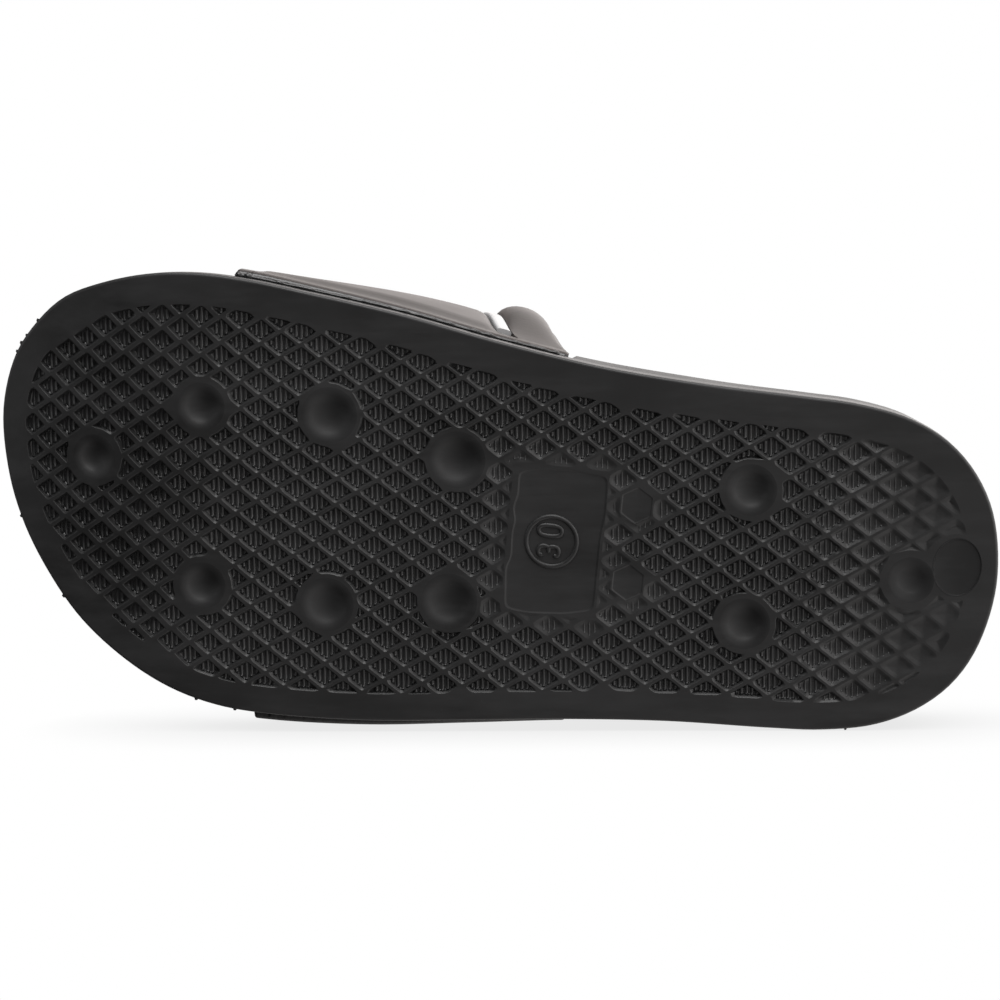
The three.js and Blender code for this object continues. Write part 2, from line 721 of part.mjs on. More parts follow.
// The origin is under the middle of the laid shoe, on the floor.
shoe.updateMatrixWorld(true);
const box = new THREE.Box3().setFromObject(shoe, true);
shoe.position.set(-(box.min.x + box.max.x) / 2, -(box.min.y + box.max.y) / 2, -box.min.z);

const slide = new THREE.Group();
slide.add(shoe);

export default slide;
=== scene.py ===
# A child's sport slide sandal, right foot, lying on its outer side with its tread in view.
#
# Shapes are worked out in the shoe's own frame, in millimetres: x runs from the heel end to the toe,
# y to the inner side of the foot, z up from the tread. laid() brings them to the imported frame.

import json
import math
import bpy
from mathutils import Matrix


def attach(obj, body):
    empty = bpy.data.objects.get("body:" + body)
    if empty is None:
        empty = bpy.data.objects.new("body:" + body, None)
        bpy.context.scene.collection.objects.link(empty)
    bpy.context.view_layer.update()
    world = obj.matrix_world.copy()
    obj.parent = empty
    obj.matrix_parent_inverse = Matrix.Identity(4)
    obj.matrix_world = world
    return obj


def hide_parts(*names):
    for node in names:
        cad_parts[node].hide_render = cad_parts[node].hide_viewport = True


bl_info = {
    "name": "Sport slide sandal",
    "version": (1, 0, 0),
    "blender": (4, 5, 0),
    "location": "3D View > Sidebar > Slide",
    "description": "Dresses the packed slide sandal: tread, footbed, padded strap, stripe and stage",
    "category": "Object",
}

from types import SimpleNamespace

import bmesh
import bpy
import numpy as np
from bpy.props import FloatProperty, FloatVectorProperty, PointerProperty
from bpy.types import Operator, Panel, PropertyGroup
from mathutils import Matrix, Vector
from mathutils.geometry import delaunay_2d_cdt

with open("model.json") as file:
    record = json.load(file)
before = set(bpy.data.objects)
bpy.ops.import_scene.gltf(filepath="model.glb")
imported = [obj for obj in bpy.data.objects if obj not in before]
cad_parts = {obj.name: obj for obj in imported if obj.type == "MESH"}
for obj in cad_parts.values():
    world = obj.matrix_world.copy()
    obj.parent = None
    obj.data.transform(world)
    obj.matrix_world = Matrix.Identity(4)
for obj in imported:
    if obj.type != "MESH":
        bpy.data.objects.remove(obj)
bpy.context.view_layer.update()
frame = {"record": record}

MM = 0.001
# Where the frame's tread mount lies, in the shoe's own frame
TREAD_MARK = np.array([100.0, -36.6, 0.0])


def table(columns, *rows):
    """Rows of a table with named columns."""
    return [dict(zip(columns.split(), row)) for row in rows]


# Half widths of the sole: along as a share of its length, outer and inner of its width
OUTLINE = table(
    "along outer inner",
    (0.01, 0.14, 0.15),
    (0.03, 0.232, 0.239),
    (0.06, 0.3, 0.308),
    (0.1, 0.349, 0.353),
    (0.15, 0.375, 0.374),
    (0.2, 0.385, 0.378),
    (0.3, 0.398, 0.382),
    (0.4, 0.422, 0.396),
    (0.5, 0.453, 0.427),
    (0.6, 0.482, 0.466),
    (0.7, 0.494, 0.494),
    (0.75, 0.488, 0.506),
    (0.8, 0.46, 0.509),
    (0.85, 0.406, 0.495),
    (0.9, 0.325, 0.46),
    (0.94, 0.224, 0.414),
    (0.97, 0.12, 0.342),
    (0.99, 0.007, 0.262),
)
HEEL_END = {"along": 0.0, "across": 0.004}
TOE_END = {"along": 1.0, "across": 0.135}

# Dished studs: along and across as shares of the sole, dish and deep as shares of the dish's
# diameter and depth, edge the run of its soft edge
STUDS = table(
    "along across dish edge deep",
    (0.895, 0.058, 0.8, 0.6, 1.0),
    (0.788, 0.207, 0.85, 0.6, 1.0),
    (0.66, 0.22, 0.98, 0.6, 1.0),
    (0.531, 0.15, 1.0, 0.6, 1.0),
    (0.244, 0.156, 0.9, 0.7, 1.0),
    (0.7735, -0.208, 0.84, 0.6, 1.0),
    (0.647, -0.218, 0.96, 0.6, 1.0),
    (0.526, -0.178, 1.0, 0.6, 1.0),
    (0.236, -0.15, 0.9, 0.7, 1.0),
    (0.082, -0.007, 0.8, 0.9, 0.7),
)
PAD = {"along": 0.428, "across": -0.01}
# The pad's edge, as shares of half its length and half its width from its middle
PAD_EDGE = table(
    "along across",
    (0.92, 0.89),
    (0.62, 0.95),
    (-0.3, 1.0),
    (-1.01, 0.95),
    (-1.04, 0.43),
    (-0.98, 0.15),
    (-0.99, -0.9),
    (-0.38, -0.99),
    (0.5, -1.04),
    (0.95, -1.0),
    (1.02, -0.43),
    (0.92, -0.3),
    (0.95, 0.07),
    (0.9, 0.23),
    (0.99, 0.41),
    (0.9, 0.56),
)
GATE = {"along": 0.0395, "across": 0.034}
HEXAGONS = table(
    "along across",
    (0.352, 0.092),
    (0.353, -0.086),
)

# Lining of the strap from its outer foot over the instep to its inner foot. Across is a share of the
# distance from the shoe's axis to the foot of the strap, rise a share of the crown's rise.
STRAP_SECTION = table(
    "front_across rear_across front_rise rear_rise",
    (-1.0, -1.0, 0.12, 0.1),
    (-1.012, -1.012, 0.46, 0.38),
    (-0.92, -0.92, 0.74, 0.68),
    (-0.56, -0.58, 0.92, 0.91),
    (0.1, 0.12, 1.0, 1.0),
    (0.6, 0.68, 0.9, 0.9),
    (0.86, 0.97, 0.68, 0.68),
    (0.96, 1.05, 0.4, 0.42),
    (0.995, 1.01, 0.12, 0.1),
)

# How finely round shapes are divided
OUTLINE_POINTS = 240
POCKET_POINTS = 28
DISH_POINTS = 40
SECTION_POINTS = 110
# Points closer than this, in millimetres, become one
WELD_DISTANCE = 0.004


# Sizes and colours


def length(name, description, millimetres):
    return FloatProperty(
        name=name,
        description=description,
        default=millimetres * MM,
        min=0.0,
        precision=5,
        unit="LENGTH",
    )


def colour(name, description, value):
    return FloatVectorProperty(
        name=name, description=description, default=value, size=3, min=0.0, max=1.0, subtype="COLOR"
    )


def share(name, description, value):
    return FloatProperty(
        name=name, description=description, default=value, min=0.0, max=1.0, subtype="FACTOR"
    )


def angle(name, description, degrees):
    return FloatProperty(
        name=name, description=description, default=math.radians(degrees), subtype="ANGLE"
    )


class SoleSizes(PropertyGroup):
    length: length("Length", "Outsole from heel end to toe", 210)
    width: length("Width", "Outsole across the ball of the foot", 90.7)
    spring_length: length("Toe spring length", "Where the toe starts to lift, from the tip", 50)
    spring_radius: length("Toe spring radius", "Radius of the lift of the toe", 140)
    band_height: length("Band height", "Side wall, from the tread to the parting line", 6)
    edge_radius: length("Edge radius", "Where the side wall turns into the tread", 0.6)
    band_draft: length("Band draft", "How far the side wall leans in at the parting line", 0.35)
    rim_toe: length("Rim at the toe", "Smooth band round the tread", 5.6)
    rim_heel: length("Rim at the heel", "Smooth band round the tread", 6)
    rim_inner: length("Rim, inner side", "Smooth band round the tread", 6.5)
    rim_outer: length("Rim, outer side", "Smooth band round the tread", 5.8)
    clearance: length("Clearance", "Between pieces that touch", 0.3)


class TreadSizes(PropertyGroup):
    pitch_along: length("Pitch along", "From pocket to pocket along the sole", 8.41)
    pitch_across: length("Pitch across", "From pocket to pocket across the sole", 5.745)
    depth: length("Pocket depth", "Depth of the diamond pockets", 1.2)
    land_middle: length("Land at the waist", "Land between two pockets", 0.56)
    land_heel: length("Land at the heel", "Land between two pockets", 0.35)
    toe_room: length("Toe pocket", "From the middle of a toe pocket to its walls", 1.95)
    edge: length("Pocket edge", "Run of the broken edge of a pocket", 0.09)
    wall: length("Pocket wall", "Run of a pocket's wall", 0.38)
    fillet: length("Pocket fillet", "Run of the round at the foot of the wall", 0.24)
    rib_spacing: length("Floor rib spacing", "Between the round ribs on a pocket's floor", 1.1)
    rib_width: length("Floor rib width", "Width of a rib", 0.86)
    rib_height: length("Floor rib height", "Height of a rib", 0.38)
    dish_diameter: length("Dish diameter", "Across the dimple of a stud", 9.6)
    dish_depth: length("Dish depth", "Depth of the dimple of a stud", 1.6)
    dish_shoulder: length("Dish shoulder", "Soft slope from the stud's flat into its dish", 1.1)
    land_margin: length("Stud margin", "Flat ring round each dish", 1.8)
    pad_length: length("Pad length", "Number pad, along the sole", 19)
    pad_width: length("Pad width", "Number pad, across the sole", 30.4)
    pad_recess: length("Pad recess", "How deep the number pad lies", 0.16)
    hexagon: length("Hexagon", "Hexagonal flats, across flats along the sole", 6.8)
    hexagon_recess: length("Hexagon recess", "How deep the hexagonal flats lie", 0.14)
    gate_length: length("Gate length", "Gate mark, along the sole", 9.6)
    gate_width: length("Gate width", "Gate mark, across the sole", 11.8)
    gate_recess: length("Gate recess", "How deep the gate mark lies", 0.32)


class FootbedSizes(PropertyGroup):
    heel_height: length("Heel height", "Rim above the tread at the heel", 25)
    forefoot_height: length("Forefoot height", "Rim above the tread at the forefoot", 19.5)
    setback: length("Setback", "Behind the outsole's side wall", 0.9)
    taper: length("Taper", "How much further back the side lies at the top", 1.4)
    rim_round: length("Rim round", "Round of the upper rim", 1.6)
    dish: length("Dish", "How far the middle lies below the rim", 2.6)
    dish_run: length("Dish run", "Over what distance it gets there", 15)
    arch_rise: length("Arch rise", "Lift along the inner side", 2.4)
    strap_seat: length("Strap seat", "How far the inner side steps back behind the strap", 1.7)


class StrapSizes(PropertyGroup):
    rear_rise: length("Rear rise", "Lining above the parting line, at the rear", 56)
    front_rise: length("Front rise", "Lining above the parting line, at the front", 42)
    proud_rear_outer: length("Rear outer foot", "How far it stands out past the sole", 2.2)
    proud_front_outer: length("Front outer foot", "How far it stands out past the sole", 3.3)
    proud_rear_inner: length("Rear inner foot", "How far it stands out past the sole", 0.3)
    proud_front_inner: length("Front inner foot", "How far it stands out past the sole", 0.9)
    rear_outer: length("Rear edge, outer", "From the heel end of the sole", 85)
    rear_inner: length("Rear edge, inner", "From the heel end of the sole", 92)
    front_outer: length("Front edge, outer", "From the heel end of the sole", 150)
    front_inner: length("Front edge, inner", "From the heel end of the sole", 161)
    rear_lean: length("Rear lean", "How far the rear edge leans forward to the crown", 14)
    front_lean: length("Front lean", "How far the front edge leans back to the crown", 13)
    edge_wall: length("Edge wall", "Wall at the rounded edges", 1.6)
    lip_wall: length("Lip wall", "Wall of the plain lip along the feet", 2.6)
    lip_height: length("Lip height", "Height of the plain lip", 4.5)
    panel_wall: length("Panel wall", "Wall of the raised front panel", 3)
    panel_crown: length("Panel crown", "How far the padding of the panel swells", 0.45)
    panel_round: length("Panel round", "Shoulder of the panel", 3)
    roll_wall: length("Roll wall", "Wall at the middle of the padded roll", 5.6)
    roll_width: length("Roll width", "Width of the padded roll", 10)
    roll_fade: length("Roll fade", "Height over which the roll swells out of the lip", 26)
    groove_wall: length("Groove wall", "Wall under the groove", 1.6)
    groove_width: length("Groove width", "Between roll and panel", 3.2)
    stripe_thickness: length("Stripe thickness", "White stripe in the groove", 1.3)
    flange_width: length("Flange width", "Foot that turns in over the outsole", 11)
    flange_thickness: length("Flange thickness", "Foot that turns in over the outsole", 1.8)
    flange_bend: length("Flange bend", "Inner radius of the turn", 1.2)


class SlideColours(PropertyGroup):
    outsole: colour("Outsole", "Moulded black", (0.0084, 0.0085, 0.0088))
    footbed: colour("Footbed", "Moulded black, matt", (0.012, 0.012, 0.0125))
    strap: colour("Strap", "Coated, charcoal black", (0.02, 0.0172, 0.016))
    lining: colour("Lining", "Knitted lining inside the strap", (0.012, 0.012, 0.0125))
    stripe: colour("Stripe", "White", (0.44, 0.445, 0.45))
    # Near-black: the bare edges and bond line, and in part painted shade in the gap under the strap's
    # foot
    bond: colour("Strap edge", "Glossy black edge and bond line of the strap", (0.004, 0.004, 0.0042))
    floor: colour("Floor", "Pale studio floor", (1.0, 1.0, 1.0))
    scuff: share("Scuffs", "How strongly scuffs and dust show", 0.5)


class StageSizes(PropertyGroup):
    distance: length("Camera distance", "From the middle of the tread", 520)
    yaw: angle("Camera yaw", "How far the camera stands towards the heel", 6.5)
    rise: angle("Camera rise", "How far the camera stands towards the inner side", 10)
    turn: angle("Picture turn", "How far the shoe is turned in the picture", 6.5)
    lens: length("Lens", "Focal length", 91.318)
    sensor: length("Sensor", "Width of the sensor", 36)


GROUPS = {
    "slide_sole": SoleSizes,
    "slide_tread": TreadSizes,
    "slide_footbed": FootbedSizes,
    "slide_strap": StrapSizes,
    "slide_colours": SlideColours,
    "slide_stage": StageSizes,
}


def in_mm(name):
    """The lengths of one property group, in millimetres."""
    group = getattr(bpy.context.scene, name)
    lengths = [p.identifier for p in group.bl_rna.properties if getattr(p, "unit", "") == "LENGTH"]
    return SimpleNamespace(**{key: getattr(group, key) / MM for key in lengths})


# Small helpers


def mix(a, b, t):
    return a + (b - a) * t


def ease(value, start, end):
    t = np.clip((np.asarray(value, float) - start) / (end - start), 0.0, 1.0)
    return t * t * (3.0 - 2.0 * t)


def laid(points):
    """Points of the shoe's own frame, in millimetres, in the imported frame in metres."""
    mount = frame["record"]["mounts"][0]
    up = -np.array(mount["axis"])
    up /= np.linalg.norm(up)
    toe = np.cross(up, (0.0, 1.0, 0.0))
    toe /= np.linalg.norm(toe)
    axes = np.array([toe, np.cross(up, toe), up])
    return np.array(mount["pos_m"]) + (np.asarray(points, float) - TREAD_MARK) @ axes * MM


def smooth_curve(points, closed, per_span=24):
    """A centripetal Catmull-Rom curve through the points, as many close points."""
    points = np.asarray(points, float)
    if closed:
        padded = np.vstack([points[-1:], points, points[:2]])
    else:
        first = 2 * points[0] - points[1]
        last = 2 * points[-1] - points[-2]
        padded = np.vstack([first, points, last])
    t = np.linspace(0.0, 1.0, per_span, endpoint=False)[:, None]
    spans = []
    for p0, p1, p2, p3 in zip(padded, padded[1:], padded[2:], padded[3:]):
        steps = ((p0, p1), (p1, p2), (p2, p3))
        d0, d1, d2 = (math.sqrt(np.linalg.norm(b - a)) or 1.0 for a, b in steps)
        m1 = ((p1 - p0) / d0 - (p2 - p0) / (d0 + d1) + (p2 - p1) / d1) * d1
        m2 = ((p2 - p1) / d1 - (p3 - p1) / (d1 + d2) + (p3 - p2) / d2) * d1
        spans.append(p1 + t * (m1 + t * (3 * (p2 - p1) - 2 * m1 - m2 + t * (2 * (p1 - p2) + m1 + m2))))
    return np.vstack([*spans, padded[-2]])


def evenly(curve, count):
    """As many points along a line as asked for, the same distance apart, both ends included."""
    run = np.r_[0.0, np.cumsum(np.linalg.norm(np.diff(curve, axis=0), axis=1))]
    at = np.linspace(0.0, run[-1], count)
    return np.stack([np.interp(at, run, curve[:, k]) for k in range(curve.shape[1])], axis=1)


def all_round(count):
    """Unit vectors in the plane, as many as asked for, evenly all round."""
    turn = np.arange(count) * 2 * math.pi / count
    return np.stack([np.cos(turn), np.sin(turn)], axis=1)


def at_height(points, height):
    """Points of the plane in space, at one height or at one for each."""
    return np.column_stack([points, np.broadcast_to(height, len(points))])


def bridge(first, second, closed=True):
    """Quads between two rows of vertex numbers."""
    pairs = list(zip(first, second))
    if closed:
        pairs.append(pairs[0])
    return [(a, c, d, b) for (a, b), (c, d) in zip(pairs, pairs[1:])]


def linked(name, data):
    """A new object in the scene."""
    piece = bpy.data.objects.new(name, data)
    bpy.context.scene.collection.objects.link(piece)
    return piece


def shade(mesh, sharp):
    """Smooth shading, broken at edges sharper than an angle in degrees."""
    mesh.polygons.foreach_set("use_smooth", [True] * len(mesh.polygons))
    mesh.set_sharp_from_angle(angle=math.radians(sharp))


class Shape:
    """Vertices in the shoe's own frame, and faces, gathered for one piece."""

    def __init__(self):
        self.vertices = []
        self.faces = []
        self.slots = []

    def add(self, points):
        start = len(self.vertices)
        self.vertices.extend(np.asarray(points, float).reshape(-1, 3).tolist())
        return list(range(start, len(self.vertices)))

    def face(self, faces, slot=0):
        self.faces.extend(faces)
        self.slots.extend([slot] * len(faces))

    def rings(self, rings, slot=0, closed=True):
        """Rings of equally many points, joined one after the other. Returns their vertex numbers."""
        rows = [self.add(ring) for ring in rings]
        for k, (first, second) in enumerate(zip(rows, rows[1:])):
            self.face(bridge(first, second, closed), slot(k) if callable(slot) else slot)
        return rows

    def fan(self, row, middle, slot=0):
        centre = self.add([middle])[0]
        self.face([(a, b, centre) for a, b in zip(row, row[1:] + row[:1])], slot)

    def ends(self, rows):
        """Closes both ends of rows that run side by side."""
        self.face([[row[0] for row in rows][::-1], [row[-1] for row in rows]])

    def object(self, name, materials, sharp=35.0):
        mesh = bpy.data.meshes.new(name)
        mesh.from_pydata(laid(self.vertices).tolist(), [], self.faces)
        for material in materials:
            mesh.materials.append(material)
        mesh.polygons.foreach_set("material_index", self.slots)
        work = bmesh.new()
        work.from_mesh(mesh)
        bmesh.ops.remove_doubles(work, verts=work.verts, dist=WELD_DISTANCE * MM)
        work.to_mesh(mesh)
        work.free()
        shade(mesh, sharp)
        return linked(name, mesh)


def outward(piece):
    """Turns all faces of a closed piece outwards."""
    work = bmesh.new()
    work.from_mesh(piece.data)
    bmesh.ops.recalc_face_normals(work, faces=work.faces)
    work.to_mesh(piece.data)
    work.free()
    return piece


def set_inputs(node, values):
    for key, value in values.items():
        node.inputs[key].default_value = value


def declare(piece, slot, *nodes):
    """The piece rides on the one body and stands for CAD nodes, which it hides. The slot is not used.
    """
    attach(piece, "root")
    if nodes:
        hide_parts(*nodes)


# Sole outline


class Outline:
    """The outsole's outline seen from above, anticlockwise, with its outward normals."""

    def __init__(self, size):
        self.size = size
        spots = [self.spot(HEEL_END)]
        spots += [self.spot({"along": r["along"], "across": -r["outer"]}) for r in OUTLINE]
        spots += [self.spot(TOE_END)]
        spots += [self.spot({"along": r["along"], "across": r["inner"]}) for r in reversed(OUTLINE)]
        self.points = evenly(smooth_curve(spots, closed=True), OUTLINE_POINTS + 1)[:-1]
        tangent = np.roll(self.points, -1, axis=0) - np.roll(self.points, 1, axis=0)
        tangent /= np.linalg.norm(tangent, axis=1)[:, None]
        self.normals = np.stack([tangent[:, 1], -tangent[:, 0]], axis=1)

    def spot(self, row):
        return np.array([row["along"] * self.size.length, row["across"] * self.size.width])

    def ring(self, inset, height):
        """The outline moved in by a distance, or one for each point, at a height or heights."""
        inset = np.broadcast_to(inset, len(self.points))[:, None]
        return at_height(self.points - self.normals * inset, height)

    def rim(self):
        """Width of the smooth band at each point."""
        size = self.size
        nx, ny = self.normals.T
        lengthwise = np.where(nx > 0, size.rim_toe, size.rim_heel)
        sideways = np.where(ny > 0, size.rim_inner, size.rim_outer)
        return lengthwise * nx**2 + sideways * ny**2

    def edge_at(self, x, side):
        """Distance from the axis to the sole's edge at a place along it, -1 outer or 1 inner side."""
        on_side = self.points[self.points[:, 1] * side > 0]
        order = np.argsort(on_side[:, 0])
        return np.interp(x, on_side[order, 0], np.abs(on_side[order, 1]))

    def lift(self, points):
        """Bends points up along the toe spring."""
        points = np.array(points, float)
        run = np.maximum(0.0, points[:, 0] - (self.size.length - self.size.spring_length))
        radius = self.size.spring_radius
        points[:, 2] += radius - np.sqrt(radius**2 - run**2)
        return points


# Tread: where its pockets are and how much room each has

# The rows of pockets run nearly along the sole and bow a little; the first is by the number pad.
POCKET_START = (72.7, -12.1)
ALONG_SKEW = 0.0446
ACROSS_SKEW = 0.0113
ROW_BOW = {
    "along_along": (-0.0065, -0.0085),
    "along_across": (0.0032, -0.0128),
    "across_across": (0.0157, -0.0131),
}
# Rows tried on both sides of the first pocket
MOST_ROWS = 30
# The middle of a pocket is looked for this share of a pitch each way, at so many places
SEARCH_REACH = 0.42
SEARCH_PLACES = 13
# Points of the rim's inner edge that may bound a pocket, on each side of the nearest one
RIM_REACH = 7
# The least room that makes a pocket, and makes one by the pad and the hexagonal flats
SMALLEST_ROOM = 0.42
SMALLEST_BY_PAD = 0.5
BY_FLAT = 7
PAD_MARGIN = 0.35
# How many half lands stand beyond the inner and the lengthwise corners of a pocket
TOP_LAND = 1.2
SIDE_LAND = 1.8
# How far those corners are rounded off, and where along the sole
TOP_CUT = 0.15
SIDE_CUT = 0.4
CUT_PART = {"heel": (28, 45), "toe": (118, 142)}
# Towards the toe the walls of the pockets stand steeper to the sole's length
TOE_PART = (146, 170)
TOE_SLOPE = math.radians(39)
CORNER_SOFTNESS = 0.13
# Where the casting filled the pockets: along the sole at the heel, and away from pad and flats
HEEL_PART = (8, 50)
PAD_PART = (0.2, 5.2)
FLAT_PART = (4.5, 8)
FLAT_FILL = 0.8
HEEL_FADE = {"from": 4, "to": 38, "least": 0.45}
# What that takes from a pocket's depth and adds to the run of its walls
FILLED_DEPTH = {"pad": 0.8, "heel": 0.35}
FILLED_RUN = {"pad": 0.6, "heel": 0.5}
# Pockets filled less than this are crisp and keep a gloss, and their fillets and floors take a lighter
# colour that is painted light
CRISP = 0.45
# How much higher the foot of the wall lies in a filled pocket, as a share of the depth
HOLLOW = 0.3
# A pocket with less room than this is shallower
FULL_ROOM = 1.2
# Ribs on the pockets' floors: left out where the casting filled them, and on short floors. The outer
# end of a rib turns up the wall: over from the wall's foot, and up as a share of the pocket's depth.
MOST_FAINT = 0.8
FEWEST_STEPS = 6
RIB_END = ((-0.2, 0.36), (-0.04, 0.16), (0.24, 0.02))
RIB_SUNK = 0.15
# Places across a pocket at which a rib is tried
RIB_STEPS = 61
# Forward lean of the ribs, the ribs on each side of the middle one, and how thin a faint one gets
RIB_LEAN = 0.12
RIB_PLACES = (-2, -1, 0, 1, 2)
FAINT_THIN = 0.6
FAINT_BY_PAD = 0.85


class Tread:
    def __init__(self, outline, size):
        self.outline = outline
        self.size = size
        self.border = outline.ring(outline.rim(), 0.0)[:, :2]
        self.find_pockets()

    def circles(self):
        """Centres and radii of the round lands: the studs and the gate mark."""
        centres = [self.outline.spot(stud) for stud in STUDS]
        dishes = [self.size.dish_diameter * mix(1.0, stud["dish"], 0.5) for stud in STUDS]
        radii = [dish / 2 + self.size.land_margin for dish in dishes]
        centres.append(self.outline.spot(GATE))
        radii.append(self.size.gate_width / 2 + self.size.land_margin / 2)
        return np.array(centres), np.array(radii)

    def land_width(self, x):
        share_of = np.asarray(x) / self.outline.size.length
        return mix(self.size.land_heel, self.size.land_middle, ease(share_of, 0.05, 0.4))

    def find_pockets(self):
        size = self.size
        along = np.array([-1.0, ALONG_SKEW]) * size.pitch_along
        across = np.array([-ACROSS_SKEW, -1.0]) * size.pitch_across
        steps = np.arange(-MOST_ROWS, MOST_ROWS + 1)
        i, j = (grid.ravel() for grid in np.meshgrid(steps, steps))
        s, t = ((i + j) / 2)[:, None], ((i - j) / 2)[:, None]
        centre = np.array(POCKET_START) + s * along + t * across
        centre = centre + s * s * ROW_BOW["along_along"] + s * t * ROW_BOW["along_across"]
        centre = centre + t * t * ROW_BOW["across_across"]
        # The two families of walls, by their unit normals and half the room between them
        self.walls = []
        for wall, other in ((along + across, along - across), (along - across, along + across)):
            normal = np.array([wall[1], -wall[0]]) / np.linalg.norm(wall)
            self.walls.append((normal, abs(other @ normal) / 4))
        length = self.outline.size.length
        near = (centre[:, 0] > 0) & (centre[:, 0] < length) & (abs(centre[:, 1]) < length / 4)
        self.cells = centre[near]
        gap = np.linalg.norm(self.cells[:, None] - self.border[None], axis=2)
        nearest = gap.argmin(axis=1)
        window = (nearest[:, None] + np.arange(-RIM_REACH, RIM_REACH + 1)) % len(self.border)
        self.near_border = self.border[window]
        self.near_normals = self.outline.normals[window]
        shares = np.linspace(-SEARCH_REACH, SEARCH_REACH, SEARCH_PLACES)
        u, v = (grid.ravel() for grid in np.meshgrid(shares, shares, indexing="ij"))
        offsets = np.column_stack([u * size.pitch_along, v * size.pitch_across])
        offsets = offsets[np.argsort(np.linalg.norm(offsets, axis=1), kind="stable")]
        room = self.room(self.cells[:, None] + offsets)
        best = np.where(room[:, 0] > 0.9 * room.max(), 0, room.argmax(axis=1))
        rows = np.arange(len(best))
        by_pad = self.outside_pad(self.cells) < size.pitch_across / 2
        by_pad |= self.from_flat(self.cells) < BY_FLAT
        keep = room[rows, best] > np.where(by_pad, SMALLEST_BY_PAD, SMALLEST_ROOM)
        self.centres = (self.cells + offsets[best])[keep]
        self.most = room[rows, best][keep]
        self.cells = self.cells[keep]
        self.near_border = self.near_border[keep]
        self.near_normals = self.near_normals[keep]

    def room(self, points):
        """How far inside its pocket each point lies. Points are pockets by points by two."""
        size = self.size
        away = points - self.cells[:, None]
        x = self.cells[:, 0][:, None]
        half_land = self.land_width(x) / 2
        toe = ease(x, *TOE_PART)
        limits = []
        for normal, half in self.walls:
            steep = np.copysign((math.sin(TOE_SLOPE), math.cos(TOE_SLOPE)), normal)
            along_normal = mix(away @ normal, away @ steep, toe)
            free = mix(half - half_land, size.toe_room, toe)
            limits += [free - along_normal, free + along_normal]
        cut = ease(x, *CUT_PART["heel"]) * (1 - ease(x, *CUT_PART["toe"]))
        top = size.pitch_across / 2 - TOP_LAND * half_land - TOP_CUT * cut
        side = size.pitch_along / 2 - SIDE_LAND * half_land - SIDE_CUT * cut
        limits += [top - away[:, :, 1], side - abs(away[:, :, 0])]
        gap = self.near_border[:, None] - points[:, :, None]
        inside = np.einsum("pkd,pnkd->pnk", self.near_normals, gap)
        limits.append(inside.min(axis=2))
        centres, radii = self.circles()
        for centre, radius in zip(centres, radii):
            limits.append(np.linalg.norm(points - centre, axis=2) - radius)
        limits.append(self.outside_pad(points))
        for hexagon in HEXAGONS:
            limits.append(self.outside_hexagon(points, self.outline.spot(hexagon)))
        limits = np.stack(limits)
        return -CORNER_SOFTNESS * np.log(np.exp(-limits / CORNER_SOFTNESS).sum(axis=0))

    def outside_pad(self, points):
        away = abs(points - self.outline.spot(PAD))
        half = np.array([self.size.pad_length, self.size.pad_width]) / 2 + PAD_MARGIN
        return (away - half).max(axis=-1)

    def outside_hexagon(self, points, centre):
        return ((points - centre) @ all_round(6).T).max(axis=-1) - self.size.hexagon / 2

    def from_flat(self, points):
        """Distance to the middle of the nearer hexagonal flat."""
        spots = np.array([self.outline.spot(hexagon) for hexagon in HEXAGONS])
        return np.linalg.norm(points[:, None] - spots, axis=2).min(axis=1)

    def softness(self):
        """How far the casting filled each pocket, 0 to 1: by the pad and the flats, and at the heel."""
        x = self.centres[:, 0]
        heel = 1 - ease(x, *HEEL_PART)
        pad = 1 - ease(self.outside_pad(self.centres), *PAD_PART)
        pad = np.maximum(pad, FLAT_FILL * (1 - ease(self.from_flat(self.centres), *FLAT_PART)))
        return pad, heel

    def level(self, inset):
        """The line round each pocket that lies a given distance inside its edge."""
        ways = all_round(POCKET_POINTS)
        low = np.zeros((len(self.centres), POCKET_POINTS))
        high = np.full_like(low, self.size.pitch_along)
        for _ in range(15):
            middle = (low + high) / 2
            room = self.room(self.centres[:, None] + middle[:, :, None] * ways)
            inside = room > inset[:, None]
            low, high = np.where(inside, middle, low), np.where(inside, high, middle)
        return self.centres[:, None] + low[:, :, None] * ways

    def pockets(self):
        """Rings of each pocket from its edge to its floor, and the middle of the floor."""
        size = self.size
        pad, heel = self.softness()
        soft = np.maximum(pad, heel)
        scale = np.minimum(1.0, self.most / FULL_ROOM)
        fade = ease(self.centres[:, 0], HEEL_FADE["from"], HEEL_FADE["to"])
        fade = mix(HEEL_FADE["least"], 1.0, fade)
        depth = size.depth * (1 - FILLED_DEPTH["pad"] * pad) * (1 - FILLED_DEPTH["heel"] * heel) * fade
        depth = depth * np.sqrt(scale)
        run = scale * (1 + FILLED_RUN["pad"] * pad + FILLED_RUN["heel"] * heel)
        # The foot of the wall lies higher than the middle where the casting filled the pocket
        hollow = HOLLOW * soft * depth
        stages = (
            (np.zeros_like(depth), 0.0),
            (size.edge * run, 0.05),
            ((size.edge + size.wall) * run, 0.84),
            ((size.edge + size.wall + size.fillet) * run, 1.0),
        )
        rings = []
        for inset, share_of in stages:
            line = self.level(np.minimum(inset, 0.85 * self.most))
            height = np.broadcast_to(((depth - hollow) * share_of)[:, None, None], (*line.shape[:2], 1))
            rings.append(np.concatenate([line, height], axis=2))
        middle = np.concatenate([self.centres, depth[:, None]], axis=1)
        foot = rings[-1]
        for t in (0.3, 0.65):
            inner = mix(foot, middle[:, None], t)
            inner[:, :, 2] = (depth - hollow * (1 - t) ** 2)[:, None]
            rings.append(inner)
        self.depth, self.foot = depth, (size.edge + size.wall) * run
        self.faint = np.maximum(FAINT_BY_PAD * pad, heel)
        self.crisp = soft < CRISP
        return rings, middle

